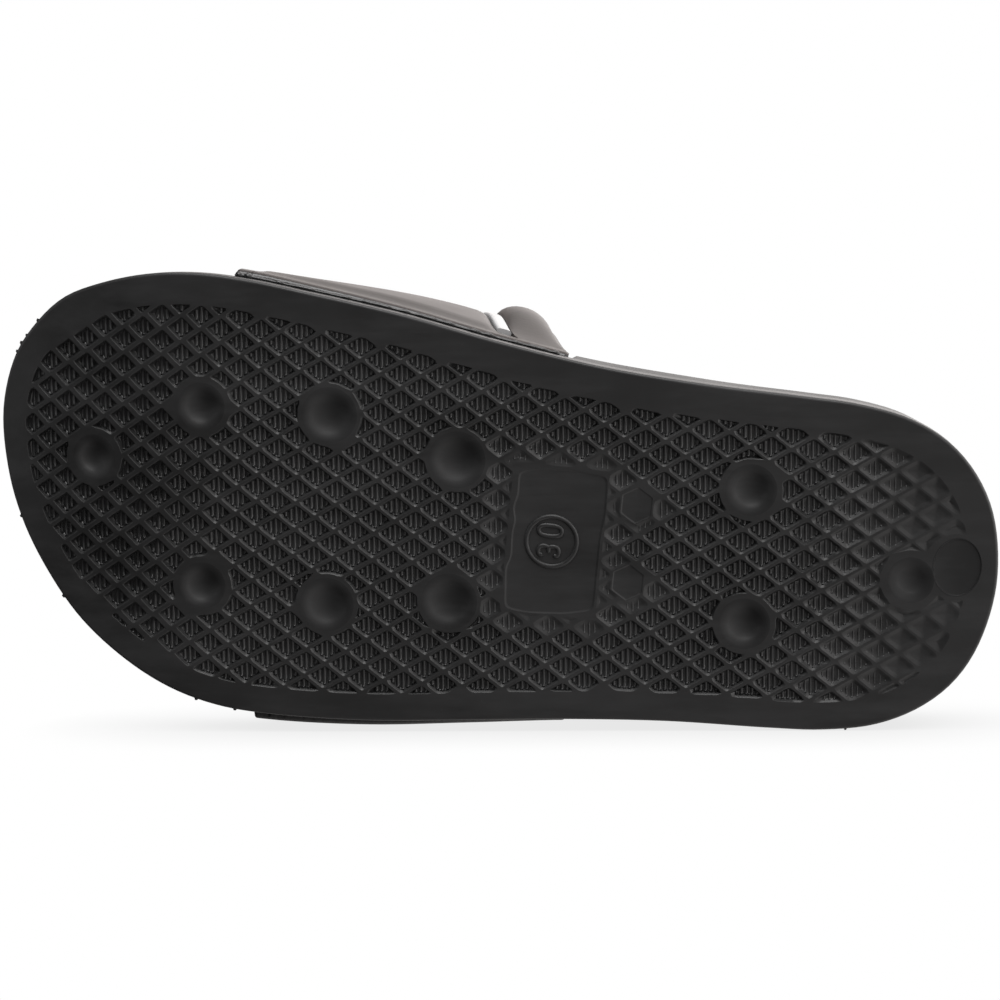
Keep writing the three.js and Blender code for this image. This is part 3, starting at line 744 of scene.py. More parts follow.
    def floor_ribs(self):
        """The chain of points along each rib that crosses a pocket's floor, and how far it swells."""
        size = self.size
        chains = []
        steps = np.linspace(-0.5, 0.5, RIB_STEPS) * size.pitch_across
        for place in RIB_PLACES:
            line = np.stack([place * size.rib_spacing + RIB_LEAN * steps, steps], axis=1)
            free = self.room(self.cells[:, None] + line) > self.foot[:, None]
            for pocket in range(len(self.cells)):
                run = steps[free[pocket]]
                if self.faint[pocket] > MOST_FAINT or len(run) < FEWEST_STEPS:
                    continue
                x, y = self.cells[pocket] + (place * size.rib_spacing, 0.0)
                floor = self.depth[pocket]
                start, end = y + run[0], y + run[-1]
                chain = [(start + over, floor - up * self.depth[pocket]) for over, up in RIB_END]
                chain += [(mix(start, end, 0.6), floor), (end + RIB_SUNK, floor)]
                chain = [(x + RIB_LEAN * (at - y), at, height) for at, height in chain]
                chains.append((chain, 1 - FAINT_THIN * self.faint[pocket] / MOST_FAINT))
        return chains


def make_outsole(rubber, glossy, satin):
    size, tread_size = in_mm("slide_sole"), in_mm("slide_tread")
    outline = Outline(size)
    tread = Tread(outline, tread_size)
    shape = Shape()
    holes = []

    rings, middles = tread.pockets()
    for pocket in range(len(middles)):
        # Fillets and floors of crisp pockets take the glossy finish, whose lighter colour is painted
        # light
        floor_finish = int(tread.crisp[pocket])
        rows = shape.rings([ring[pocket] for ring in rings], lambda k: floor_finish if k > 1 else 0)
        shape.fan(rows[-1], middles[pocket], floor_finish)
        holes.append(rings[0][pocket])

    circle = all_round(DISH_POINTS)
    for stud in STUDS:
        rows = dish_rings(outline.spot(stud), stud, tread_size, circle)
        numbers = shape.rings(rows[:-1], 2)
        shape.fan(numbers[-1], rows[-1][0], 2)
        holes.append(rows[0])

    gate, pad = outline.spot(GATE), outline.spot(PAD)
    flats = [
        (gate_rings(gate, tread_size, circle), gate, tread_size.gate_recess, 2),
        (pad_rings(pad, tread_size), pad, tread_size.pad_recess, 0),
    ]
    for hexagon in HEXAGONS:
        spot = outline.spot(hexagon)
        flats.append((hexagon_rings(spot, tread_size), spot, tread_size.hexagon_recess, 0))
    for rows, spot, recess, finish in flats:
        numbers = shape.rings(rows, finish)
        shape.fan(numbers[-1], (*spot, recess), finish)
        holes.append(rows[0])

    side = side_rings(outline, size)
    numbers = shape.rings(side[::-1])
    shape.fan(numbers[0][::-1], (size.length / 2, 0.0, size.band_height))
    land_between(shape, side[0], holes)

    shape.vertices = outline.lift(shape.vertices).tolist()
    return shape.object("outsole_tread", [rubber, glossy, satin]), outline, tread


# A stud's edge from outside in: shares of its shoulder, then of its soft edge, and the depth there
DISH_SHOULDER = ((1.0, 0.0), (0.6, 0.03), (0.2, 0.11))
DISH_EDGE = ((0.35, 0.25), (1.0, 0.42))
DISH_RINGS = 9
# The step down to a flat, with shares of its depth: what share of a hexagon is left, how far out from
# the gate mark's edge, and how far in from the number pad's
HEXAGON_STEP = ((0.93, 0.0), (0.91, 0.15), (0.87, 0.9), (0.83, 1.0))
GATE_STEP = ((0.25, 0.0), (0.12, -0.06), (0.0, 0.0), (-0.12, 0.8), (-0.4, 1.0))
PAD_STEP = ((0.0, 0.0), (0.12, 0.2), (0.3, 0.9), (0.5, 1.0))
# How much a hexagonal flat is drawn out across the sole
HEXAGON_ACROSS = 1.06
HEXAGON_POINTS = 48
PAD_POINTS = 120


def dish_rings(centre, stud, size, circle):
    """The broken edge of a stud's dish and the dimple, down to its middle."""
    radius = size.dish_diameter * stud["dish"] / 2
    edge = stud["edge"]
    shoulder = size.dish_shoulder * stud["dish"]
    profile = [(radius + part * shoulder, z) for part, z in DISH_SHOULDER]
    profile += [(radius - part * edge, z) for part, z in DISH_EDGE]
    inner, start = profile[-1]
    lowest = size.dish_depth * stud["deep"]
    deep = lowest - start
    sphere = (inner**2 + deep**2) / (2 * deep)
    opening = math.asin(inner / sphere)
    for k in range(1, DISH_RINGS + 1):
        a = opening * (1 - k / DISH_RINGS)
        profile.append((sphere * math.sin(a), lowest - sphere * (1 - math.cos(a))))
    return [at_height(centre + r * circle, z) for r, z in profile]


def hexagon_rings(centre, size):
    """A hexagonal flat, its corners across the sole, with a small step down to its floor."""
    turn = np.radians(np.arange(30, 391, 60))
    reach = size.hexagon / 2 / math.cos(math.pi / 6)
    corners = reach * np.stack([np.cos(turn), HEXAGON_ACROSS * np.sin(turn)], axis=1)
    line = evenly(corners, HEXAGON_POINTS + 1)[:-1]
    return [at_height(centre + part * line, z * size.hexagon_recess) for part, z in HEXAGON_STEP]


def gate_rings(centre, size, circle):
    half = np.array([size.gate_length, size.gate_width]) / 2
    return [at_height(centre + (half + out) * circle, z * size.gate_recess) for out, z in GATE_STEP]


def pad_rings(centre, size):
    """The number pad's edge, not quite straight, and the step down to its floor."""
    half = np.array([size.pad_length, size.pad_width]) / 2
    corners = np.array([(row["along"], row["across"]) for row in (*PAD_EDGE, PAD_EDGE[0])]) * half
    line = evenly(corners, PAD_POINTS + 1)[:-1]
    for _ in range(2):
        line = (np.roll(line, 1, axis=0) + 2 * line + np.roll(line, -1, axis=0)) / 4
    return [at_height(centre + line * (1 - inset / half), z * size.pad_recess) for inset, z in PAD_STEP]


def side_rings(outline, size):
    """The outsole's side from the tread's edge up to the parting line."""
    radius, top, lean = size.edge_radius, size.band_height, size.band_draft
    turns = np.radians([0, 18, 36, 54, 72, 90])
    profile = [(radius * (1 - math.sin(a)), radius * (1 - math.cos(a))) for a in turns]
    profile += [(0.45 * lean, top / 2), (0.9 * lean, top - 0.5)]
    profile += [(1.1 * lean, top - 0.15), (lean + 0.3, top)]
    return [outline.ring(inset, height) for inset, height in profile]


def land_between(shape, edge, holes):
    """The flat of the tread between its edge and the holes, in triangles."""
    points, faces = [], []
    for loop in (edge, *holes):
        start = len(points)
        points.extend(Vector((p[0], p[1])) for p in loop)
        faces.append(list(range(start, len(points))))
    flat, _, triangles, _, _, inside = delaunay_2d_cdt(points, [], faces, 1, 1e-5)
    numbers = shape.add([(p.x, p.y, 0.0) for p in flat])
    for triangle, owners in zip(triangles, inside):
        if list(owners) == [0]:
            shape.face([tuple(numbers[v] for v in triangle[::-1])])


# Ribs on the pockets' floors, one swept along each chain of edges


def rib_tree(material):
    """Sweeps an oval along every chain of edges, scaled by its swell, and closes the ends."""
    tree = bpy.data.node_groups.new("Floor ribs", "GeometryNodeTree")
    face = tree.interface
    face.new_socket("Geometry", in_out="INPUT", socket_type="NodeSocketGeometry")
    for name in ("Width", "Height"):
        face.new_socket(name, in_out="INPUT", socket_type="NodeSocketFloat")
    face.new_socket("Geometry", in_out="OUTPUT", socket_type="NodeSocketGeometry")
    node, link = tree.nodes.new, tree.links.new
    given, result = node("NodeGroupInput"), node("NodeGroupOutput")
    chain, upright = node("GeometryNodeMeshToCurve"), node("GeometryNodeSetCurveNormal")
    upright.mode = "Z_UP"
    link(given.outputs["Geometry"], chain.inputs["Mesh"])
    link(chain.outputs["Curve"], upright.inputs["Curve"])
    circle, oval = node("GeometryNodeCurvePrimitiveCircle"), node("GeometryNodeTransform")
    set_inputs(circle, {"Resolution": 6, "Radius": 0.5})
    scale = node("ShaderNodeCombineXYZ")
    link(given.outputs["Width"], scale.inputs["X"])
    link(given.outputs["Height"], scale.inputs["Y"])
    link(circle.outputs["Curve"], oval.inputs["Geometry"])
    link(scale.outputs["Vector"], oval.inputs["Scale"])
    swell = node("GeometryNodeInputNamedAttribute")
    swell.data_type = "FLOAT"
    set_inputs(swell, {"Name": "swell"})
    sweep = node("GeometryNodeCurveToMesh")
    set_inputs(sweep, {"Fill Caps": True})
    link(upright.outputs["Curve"], sweep.inputs["Curve"])
    link(oval.outputs["Geometry"], sweep.inputs["Profile Curve"])
    link(swell.outputs["Attribute"], sweep.inputs["Scale"])
    finish = node("GeometryNodeSetMaterial")
    set_inputs(finish, {"Material": material})
    link(sweep.outputs["Mesh"], finish.inputs["Geometry"])
    link(finish.outputs["Geometry"], result.inputs["Geometry"])
    return tree


def baked(points, edges, attributes, tree, values, name):
    """Runs a node tree over points and edges and returns the result as a plain mesh."""
    cloud = bpy.data.meshes.new(name + "_points")
    cloud.from_pydata(points, edges, [])
    for key, numbers in attributes.items():
        cloud.attributes.new(key, "FLOAT", "POINT").data.foreach_set("value", numbers)
    holder = linked(name + "_points", cloud)
    modifier = holder.modifiers.new("Nodes", "NODES")
    modifier.node_group = tree
    for item in tree.interface.items_tree:
        if item.item_type == "SOCKET" and item.in_out == "INPUT" and item.name in values:
            modifier[item.identifier] = values[item.name]
    graph = bpy.context.evaluated_depsgraph_get()
    mesh = bpy.data.meshes.new_from_object(holder.evaluated_get(graph))
    bpy.data.objects.remove(holder)
    bpy.data.meshes.remove(cloud)
    mesh.name = name
    return mesh


def place_in_row(mesh, outline):
    """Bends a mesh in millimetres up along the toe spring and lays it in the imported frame."""
    points = np.zeros(len(mesh.vertices) * 3)
    mesh.vertices.foreach_get("co", points)
    points = laid(outline.lift(points.reshape(-1, 3)))
    mesh.vertices.foreach_set("co", points.ravel())
    mesh.update()


def make_floor_ribs(outline, tread, rubber):
    size = in_mm("slide_tread")
    points, edges, swell = [], [], []
    for chain, share_of in tread.floor_ribs():
        start = len(points)
        points += chain
        edges += [(k, k + 1) for k in range(start, len(points) - 1)]
        swell += [share_of] * len(chain)
    values = {"Width": size.rib_width, "Height": 2 * size.rib_height}
    mesh = baked(points, edges, {"swell": swell}, rib_tree(rubber), values, "tread_floor_ribs")
    place_in_row(mesh, outline)
    shade(mesh, 60)
    return linked("tread_floor_ribs", mesh)


# Size mark: a raised ring and the plain number 30 on the pad

RING_CENTRE = (90.5, -1.1)
RING_RADIUS = 5.2
STROKE = 1.05
STROKE_HEIGHT = 0.46
STROKE_SIDES = 10
# How much of its width a stroke keeps at its ends
STROKE_END = 0.35
NOUGHT = {"centre": (0.5, 2.2), "along": 2.4, "across": 1.12, "squareness": 0.8}
# The three, its open side to the outer side of the foot, from its middle: the bowls and the short leg
THREE_CENTRE = (0.45, -2.05)
THREE_BOWL = ((1.15, -0.7), (1.6, -0.95), (2.0, -0.7), (2.12, 0.0), (1.8, 0.75), (1.05, 1.0),
              (0.35, 0.9))
THREE_BOWLS = (*THREE_BOWL, (0.0, 0.72), *((-along, across) for along, across in THREE_BOWL[::-1]))
THREE_LEG = ((0.0, 0.7), (0.0, 0.2), (0.0, -0.35))


def stroke(shape, path, closed, base):
    """A raised round stroke along a path on the tread, half sunk into the pad."""
    path = np.asarray(path, float)
    ahead = np.roll(path, -1, axis=0) - np.roll(path, 1, axis=0)
    if not closed:
        ahead[0], ahead[-1] = path[1] - path[0], path[-1] - path[-2]
    ahead /= np.linalg.norm(ahead, axis=1)[:, None]
    aside = np.stack([ahead[:, 1], -ahead[:, 0]], axis=1)
    width = np.full(len(path), STROKE / 2)
    if not closed:
        width[[0, -1]] *= STROKE_END
    rings = []
    for out, up in all_round(STROKE_SIDES):
        rings.append(at_height(path + aside * (width * out)[:, None], base - STROKE_HEIGHT * up))
    rows = shape.rings([*rings, rings[0]], closed=closed)
    if not closed:
        shape.ends(rows[:-1])


def make_size_mark(outline, rubber):
    base = in_mm("slide_tread").pad_recess
    shape = Shape()
    circle = all_round(72)
    stroke(shape, RING_RADIUS * circle + RING_CENTRE, True, base)
    nought = np.copysign(abs(circle[::2]) ** NOUGHT["squareness"], circle[::2])
    nought = nought * (NOUGHT["along"], NOUGHT["across"])
    stroke(shape, nought + NOUGHT["centre"] + RING_CENTRE, True, base)
    for path in (THREE_BOWLS, THREE_LEG):
        curve = smooth_curve(path, closed=False, per_span=4)
        stroke(shape, curve + THREE_CENTRE + RING_CENTRE, False, base)
    shape.vertices = outline.lift(shape.vertices).tolist()
    return outward(shape.object("size_mark", [rubber], sharp=50))


# Footbed

# Round of the lower edge, and how far the rim swells out over the side
FOOT_ROUND = 0.35
RIM_SWELL = 0.2
# How close to the heel and the toe the middle line of the cup goes
CUP_END = 45
# Where the heel's height fades out and where the arch is, as shares of the sole
HEEL_RUN = (0.3, 0.66)
ARCH_RUN = {"rise": (0.22, 0.38), "fall": (0.42, 0.6), "across": (0.02, 0.32)}


def make_footbed(outline, foam):
    size, sole, strap = in_mm("slide_footbed"), in_mm("slide_sole"), in_mm("slide_strap")
    base = sole.band_height + sole.clearance
    top = size.forefoot_height
    side = size.setback + size.taper
    crest = side + size.rim_round
    profile = [(size.setback + FOOT_ROUND, base), (size.setback, base + FOOT_ROUND)]
    for t in (0.3, 0.65, 1.0):
        profile.append((mix(size.setback, side - RIM_SWELL, t), mix(base, top - size.rim_round, t)))
    for a in np.radians([18, 36, 54, 72, 90]):
        profile.append((side - RIM_SWELL + (size.rim_round + RIM_SWELL) * (1 - math.cos(a)),
                        top - size.rim_round * (1 - math.sin(a))))
    for t in (0.12, 0.25, 0.4, 0.55, 0.7, 0.85, 1.0):
        profile.append((crest + size.dish_run * t, top - size.dish * float(ease(t, 0.0, 1.0))))
    seat = strap_seat(outline, size, strap)
    rings = []
    for inset, height in profile:
        fade = 1 - float(ease(inset, side, crest + size.dish_run))
        rings.append(outline.ring(inset + seat * fade, height))
    shape = Shape()
    numbers = shape.rings(rings)
    inner = rings[-1]
    for t in (0.35, 0.7, 0.93):
        ring = inner.copy()
        ring[:, 1] = inner[:, 1] * (1 - t)
        ring[:, 0] = mix(inner[:, 0], np.clip(inner[:, 0], CUP_END, sole.length - CUP_END), t)
        row = shape.add(ring)
        shape.face(bridge(numbers[-1], row))
        numbers.append(row)
    last = numbers[-1]
    across = range(len(last) // 2 - 1)
    shape.face([(last[k], last[k + 1], last[-k - 2], last[-k - 1]) for k in across])
    shape.face([tuple(numbers[0][::-1])])
    points = np.array(shape.vertices)
    share_of = (points[:, 2] - base) / (top - base)
    along = points[:, 0] / sole.length
    heel = (size.heel_height - top) * (1 - ease(along, *HEEL_RUN))
    arch = size.arch_rise * ease(along, *ARCH_RUN["rise"]) * (1 - ease(along, *ARCH_RUN["fall"]))
    arch = arch * ease(points[:, 1] / sole.width, *ARCH_RUN["across"])
    points[:, 2] += share_of * (heel + arch)
    shape.vertices = outline.lift(points).tolist()
    return shape.object("footbed_layer", [foam])


# Over what distance the seat begins and ends
SEAT_RUN = 1.2


def strap_seat(outline, size, strap):
    """How far the footbed's side steps back for the strap, at each point of the outline."""
    x, ny = outline.points[:, 0], outline.normals[:, 1]
    behind = ease(x, strap.rear_inner - SEAT_RUN, strap.rear_inner)
    behind = behind * (1 - ease(x, strap.front_inner, strap.front_inner + SEAT_RUN))
    return size.strap_seat * behind * (ny > 0.5)


# Strap

# Cuts round the rear edge, in degrees, and over the padded roll and the panel
EDGE_TURNS = (12, 35, 60)
ROLL_CUTS = 14
PANEL_CUTS = 17
# How full the roll and the panel's padding are: less than one is fuller than a sine
ROLL_FULLNESS = 0.8
PANEL_FULLNESS = 0.6
# The turn from the strap down to its flange, in degrees, and how square the outer corner there is
FOOT_TURNS = (90, 78, 66, 54, 45, 36, 24, 12)
FOOT_SQUARENESS = 7


def strap_stations(size):
    """Where the strap is cut across, from its rear to its front edge, and its wall there."""
    rows = []
    radius = size.edge_wall / 2
    for a in np.radians(EDGE_TURNS):
        lift = radius * (1 - math.sin(a))
        rows.append({"from_rear": lift - radius, "wall": size.edge_wall * math.sin(a), "lift": lift,
                     "fade": size.roll_fade})
    for i in range(ROLL_CUTS + 1):
        a = math.pi * i / ROLL_CUTS
        thin = size.groove_wall if i else size.edge_wall
        rows.append({"from_rear": size.roll_width * (1 - math.cos(a)) / 2,
                     "wall": mix(thin, size.roll_wall, math.sin(a) ** ROLL_FULLNESS),
                     "fade": size.roll_fade if i < ROLL_CUTS else size.lip_height})
    groove = size.roll_width + size.groove_width
    for t in (0.33, 0.66, 1.0):
        rows.append({"from_rear": size.roll_width + size.groove_width * t, "wall": size.groove_wall})
    raised = size.panel_wall - size.groove_wall
    for t in (0.02, 0.08, 0.2, 0.4, 0.7, 1.0):
        rows.append({"from_rear": groove + size.panel_round * t,
                     "wall": size.groove_wall + raised * math.sqrt(1 - (1 - t) ** 2)})
    panel_start = groove + size.panel_round
    for t in np.linspace(0.05, 0.95, PANEL_CUTS):
        crown = size.panel_crown * math.sin(math.pi * t) ** PANEL_FULLNESS
        rows.append({"from_rear": panel_start, "share": t, "wall": size.panel_wall + crown})
    for t in (0.0, 0.3, 0.6, 0.8, 0.93, 1.0):
        drop = (size.panel_wall - size.edge_wall) * (1 - math.sqrt(1 - t**2))
        rows.append({"from_rear": panel_start - size.panel_round * (1 - t), "share": 1.0,
                     "wall": size.panel_wall - drop})
    for a in np.radians(EDGE_TURNS[::-1]):
        rows.append({"from_rear": panel_start + radius * math.cos(a), "share": 1.0,
                     "wall": size.edge_wall * math.sin(a), "lift": radius * (1 - math.sin(a))})
    plain = {"share": 0.0, "lift": 0.0, "fade": size.lip_height, "panel_start": panel_start}
    return [{**plain, **row} for row in rows]


def strap_section(outline, size, sole, station):
    """One section, outer to inner foot: lining, outward ways, raised shares, feet, bend's top."""

    def front_share(x):
        return min(1.2, max(-0.1, (x - size.rear_inner) / (size.front_outer - size.rear_inner)))

    def foot(side, x):
        if side < 0:
            rear, front = size.proud_rear_outer, size.proud_front_outer
        else:
            rear, front = size.proud_rear_inner, size.proud_front_inner
        return float(outline.edge_at(x, side)) + mix(rear, front, front_share(x)) - size.lip_wall

    def along_at(across, rise):
        inner = (across + 1) / 2
        rear = mix(size.rear_outer, size.rear_inner, inner) + size.rear_lean * rise
        front = mix(size.front_outer, size.front_inner, inner) - size.front_lean * rise
        return rear + station["from_rear"] + station["share"] * (front - rear - station["panel_start"])

    base = sole.band_height + sole.clearance
    bend_top = base + size.flange_thickness + size.flange_bend
    line = []
    for row in STRAP_SECTION:
        front = front_share(along_at(row["rear_across"], row["rear_rise"]))
        across = mix(row["rear_across"], row["front_across"], front)
        rise = mix(row["rear_rise"], row["front_rise"], front)
        crown = mix(size.rear_rise, size.front_rise, front)
        x = along_at(min(1.0, max(-1.0, across)), rise)
        line.append((x, across * foot(math.copysign(1, across), x), base + rise * crown))
    feet = []
    for side in (-1, 1):
        x = along_at(side, 0)
        feet.append((x, side * foot(side, x), bend_top))
    arch = evenly(smooth_curve([feet[0], *line, feet[1]], closed=False), SECTION_POINTS + 1)
    run = np.gradient(arch[:, 1:], axis=0)
    run /= np.linalg.norm(run, axis=1)[:, None]
    out = np.stack([-run[:, 1], run[:, 0]], axis=1)
    raised = ease(arch[:, 2], bend_top, bend_top + station["fade"])
    return arch, out, raised, feet, bend_top


def strap_rows(outline, size, sole, station):
    """Face and lining of one section, with the turned feet at both ends."""
    arch, out, raised, feet, bend_top = strap_section(outline, size, sole, station)
    bend, lift, power = size.flange_bend, station["lift"], FOOT_SQUARENESS
    wide, deep = bend + size.lip_wall, bend + size.flange_thickness
    thin = station["wall"] / size.edge_wall if lift else 1.0
    lining, face = [], []
    for end, side in zip(feet, (-1, 1)):
        inside, outside = [], []
        for a in np.radians(FOOT_TURNS):
            reach = ((math.cos(a) / wide) ** power + (math.sin(a) / deep) ** power) ** (-1 / power)
            centre = np.array([end[0], end[1] - side * bend, bend_top])
            way = np.array([0.0, side * math.cos(a), -math.sin(a)])
            inside.append(centre + way * (bend + lift))
            outside.append(centre + way * (bend + lift + (reach - bend) * thin))
        for line, rows in ((inside, lining), (outside, face)):
            tip = line[0] - (0.0, side * (size.flange_width - bend), 0.0)
            rows.append([tip, *line][::-side])
    ways = np.column_stack([np.zeros(len(out)), out])
    arch_in = arch + ways * lift
    arch_out = arch_in + ways * mix(size.lip_wall * thin, station["wall"], raised)[:, None]
    return np.vstack([face[0], arch_out, face[1]]), np.vstack([lining[0], arch_in, lining[1]])


# The faces at both ends of a section that turn under the strap, cut edges of bare black whose
# near-black is also painted shade under the strap's foot
EDGE_QUADS = 6


def make_strap(outline, coat, lining_cloth, edge):
    size, sole = in_mm("slide_strap"), in_mm("slide_sole")
    shape = Shape()
    faces, linings = zip(*(strap_rows(outline, size, sole, s) for s in strap_stations(size)))
    face_rows = [shape.add(row) for row in faces]
    lining_rows = [shape.add(row) for row in linings]
    for first, second in zip(face_rows, face_rows[1:]):
        quads = bridge(first, second, closed=False)
        shape.face(quads[:EDGE_QUADS] + quads[-EDGE_QUADS:], 2)
        shape.face(quads[EDGE_QUADS:-EDGE_QUADS])
    for first, second in zip(lining_rows, lining_rows[1:]):
        shape.face(bridge(second, first, closed=False), 1)
    shape.face(bridge(lining_rows[0], face_rows[0], closed=False))
    shape.face(bridge(face_rows[-1], lining_rows[-1], closed=False))
    for end in (0, -1):
        outer = [row[end] for row in face_rows]
        inner = [row[end] for row in lining_rows]
        shape.face(bridge(outer, inner, closed=False) if end else bridge(inner, outer, closed=False))
    return outward(shape.object("strap_band", [coat, lining_cloth, edge], sharp=50))


# Bond line under the strap's inner foot: how far it lies out from the sole's edge and up from the
# tread, its radii and the seed of its lumps
BOND = {"out": -0.1, "up": 5.6, "thin": 0.28, "thick": 0.62, "tip": 0.05, "seed": 30, "points": 180}
# Towards the strap's front edge it is this much thicker, from and to this far behind the edge
BOND_FRONT = {"times": 1.7, "from": 9, "to": 4}
# How much its lumps lift it, and how many sides it has
BOND_WAVE = 0.25
BOND_SIDES = 8


def make_bond(outline, edge):
    """The uneven glossy bond line between the sole's edge and the strap's inner foot; its near-black is
    also painted shade for the gap there.
    """
    size = in_mm("slide_strap")
    x = np.linspace(size.rear_inner + 1.0, size.front_inner + 0.6, BOND["points"])
    draws = np.random.default_rng(BOND["seed"]).random(BOND["points"] + 4)
    lumps = np.convolve(draws, np.array([1, 2, 3, 2, 1]) / 9, mode="valid")
    radius = mix(BOND["thin"], BOND["thick"], ease(lumps, 0.3, 0.75))
    front = ease(x - size.front_inner, -BOND_FRONT["from"], -BOND_FRONT["to"])
    radius = radius * mix(1.0, BOND_FRONT["times"], front)
    radius[[0, -1]] = BOND["tip"]
    middle = np.column_stack([x, outline.edge_at(x, 1) + BOND["out"]])
    height = BOND["up"] + BOND_WAVE * (lumps - 0.5)
    rings = []
    for out, up in all_round(BOND_SIDES):
        rings.append(at_height(middle + np.outer(radius, (0.0, out)), height + radius * up))
    shape = Shape()
    rows = shape.rings([*rings, rings[0]], closed=False)
    shape.ends(rows[:-1])
    shape.vertices = outline.lift(shape.vertices).tolist()
    return outward(shape.object("strap_bond", [edge], sharp=60))


# The stripe's gaps over the groove's floor and to its walls, and from what share of the groove's
# depth it is there
STRIPE_CLEAR = 0.05
STRIPE_GAP = 0.12
STRIPE_SHOWS = 0.9
# Half the stripe's section from its edge to its middle, across and up, as shares of both
STRIPE_HALF = ((1.0, 0.0), (1.0, 0.55), (0.93, 0.8), (0.78, 0.95), (0.4, 1.0))


def make_stripe(outline, white):
    """The white band in the groove, with rounded edges."""
    size, sole = in_mm("slide_strap"), in_mm("slide_sole")
    middle = size.roll_width + size.groove_width / 2
    half = size.groove_width / 2 - STRIPE_GAP
    panel_start = size.roll_width + size.groove_width + size.panel_round
    profile = [*((-across, up) for across, up in STRIPE_HALF), (0.0, 1.02), *STRIPE_HALF[::-1]]
    shape = Shape()
    rows = []
    for across, up in profile:
        station = {"from_rear": middle + across * half, "share": 0.0, "fade": size.lip_height,
                   "panel_start": panel_start, "wall": size.groove_wall, "lift": 0.0}
        arch, out, raised, _, _ = strap_section(outline, size, sole, station)
        ways = np.column_stack([np.zeros(len(out)), out])
        rise = size.groove_wall + STRIPE_CLEAR + up * size.stripe_thickness
        if not rows:
            shown = raised > STRIPE_SHOWS
        rows.append((arch + ways * rise)[shown])
    numbers = shape.rings(rows, closed=False)
    shape.face(bridge(numbers[-1], numbers[0], closed=False))
    shape.ends(numbers)
    return outward(shape.object("stripe_band", [white], sharp=50))


# Mould flash: torn slivers of rubber on the tread's edge, placed as shares of the sole
FLASH = table(
    "along across size",
    (0.978, 0.359, 0.42),
    (0.986, 0.328, 0.3),
    (0.995, 0.302, 0.45),
    (0.996, 0.278, 0.35),
    (0.973, -0.124, 0.4),
    (0.919, -0.29, 0.45),
    (0.771, -0.479, 0.45),
    (0.731, -0.494, 0.4),
    (0.126, -0.365, 0.35),
)


def make_flash(outline, rubber):
    size = in_mm("slide_sole")
    shape = Shape()
    for k, row in enumerate(FLASH):
        at = int(np.linalg.norm(outline.points - outline.spot(row), axis=1).argmin())
        point, normal = outline.points[at], outline.normals[at]
        tangent = np.array([-normal[1], normal[0]])
        length_of = row["size"] * (1.6 + 0.5 * math.sin(3.1 * k))
        foot = size.edge_radius * 1.1
        base = [(-length_of, -0.4, 0.0), (length_of, -0.4, 0.1), (0.3 * length_of, row["size"], 0.05),
                (-0.35 * length_of, 0.7 * row["size"], -0.1)]
        rings = []
        for thick in (-0.12, 0.12):
            rings.append([(*(point + tangent * a + normal * (b - (thick > 0) * 0.1)), foot + c + thick)
                          for a, b, c in base])
        rows = shape.rings(rings)
        shape.face([tuple(rows[0][::-1]), tuple(rows[1])])
    shape.vertices = outline.lift(shape.vertices).tolist()
    return outward(shape.object("edge_flash", [rubber], sharp=30))


# Finishes

WHITE = (1.0, 1.0, 1.0)
# The tint of the strap's gloss, of the softbox behind and of the room
WARM = (1.0, 0.86, 0.81)
ROOM_TINT = (1.0, 0.97, 0.955)


def node_material(name):
    material = bpy.data.materials.new(name)
    material.use_nodes = True
    tree = material.node_tree
    return material, tree, tree.nodes["Principled BSDF"]


def pattern(tree, kind, scale, stretch=None):
    """A texture on Object coordinates, its scale in cycles per metre."""
    place, texture = tree.nodes.new("ShaderNodeTexCoord"), tree.nodes.new(kind)
    set_inputs(texture, {"Scale": scale})
    vector = place.outputs["Object"]
    if stretch:
        mapping = tree.nodes.new("ShaderNodeMapping")
        set_inputs(mapping, {"Scale": stretch})
        tree.links.new(vector, mapping.inputs["Vector"])
        vector = mapping.outputs["Vector"]
    tree.links.new(vector, texture.inputs["Vector"])
    return texture


def noise(tree, scale, detail=3.0, rough=0.55, stretch=None):
    texture = pattern(tree, "ShaderNodeTexNoise", scale, stretch)
    set_inputs(texture, {"Detail": detail, "Roughness": rough})
    return texture.outputs["Fac"]


def spread(tree, value, low, high, to_low, to_high):
    """Maps a value from one range to another."""
    node = tree.nodes.new("ShaderNodeMapRange")
    set_inputs(node, {"From Min": low, "From Max": high, "To Min": to_low, "To Max": to_high})
    tree.links.new(value, node.inputs["Value"])
    return node.outputs["Result"]


def blend_colours(tree, factor, first, second):
    """Blends two colours, each a tuple or the output of a node."""
    node = tree.nodes.new("ShaderNodeMix")
    node.data_type = "RGBA"
    for socket, value in ((node.inputs[6], first), (node.inputs[7], second)):
        if isinstance(value, tuple):
            socket.default_value = (*value, 1.0)
        else:
            tree.links.new(value, socket)
    tree.links.new(factor, node.inputs["Factor"])
    return node.outputs[2]


def bump(tree, shader, layers):
    """Bump layers from the widest to the finest: pattern, strength and depth in millimetres."""
    normal = None
    for height, strength, depth in layers:
        node = tree.nodes.new("ShaderNodeBump")
        set_inputs(node, {"Strength": strength, "Distance": depth * MM})
        tree.links.new(height, node.inputs["Height"])
        if normal:
            tree.links.new(normal, node.inputs["Normal"])
        normal = node.outputs["Normal"]
    tree.links.new(normal, shader.inputs["Normal"])


def tint(key, by=1.0):
    """A colour of the slide, lighter or darker by a factor."""
    value = getattr(bpy.context.scene.slide_colours, key)
    return tuple(min(1.0, channel * by) for channel in value)


DUST = (0.06, 0.06, 0.058)


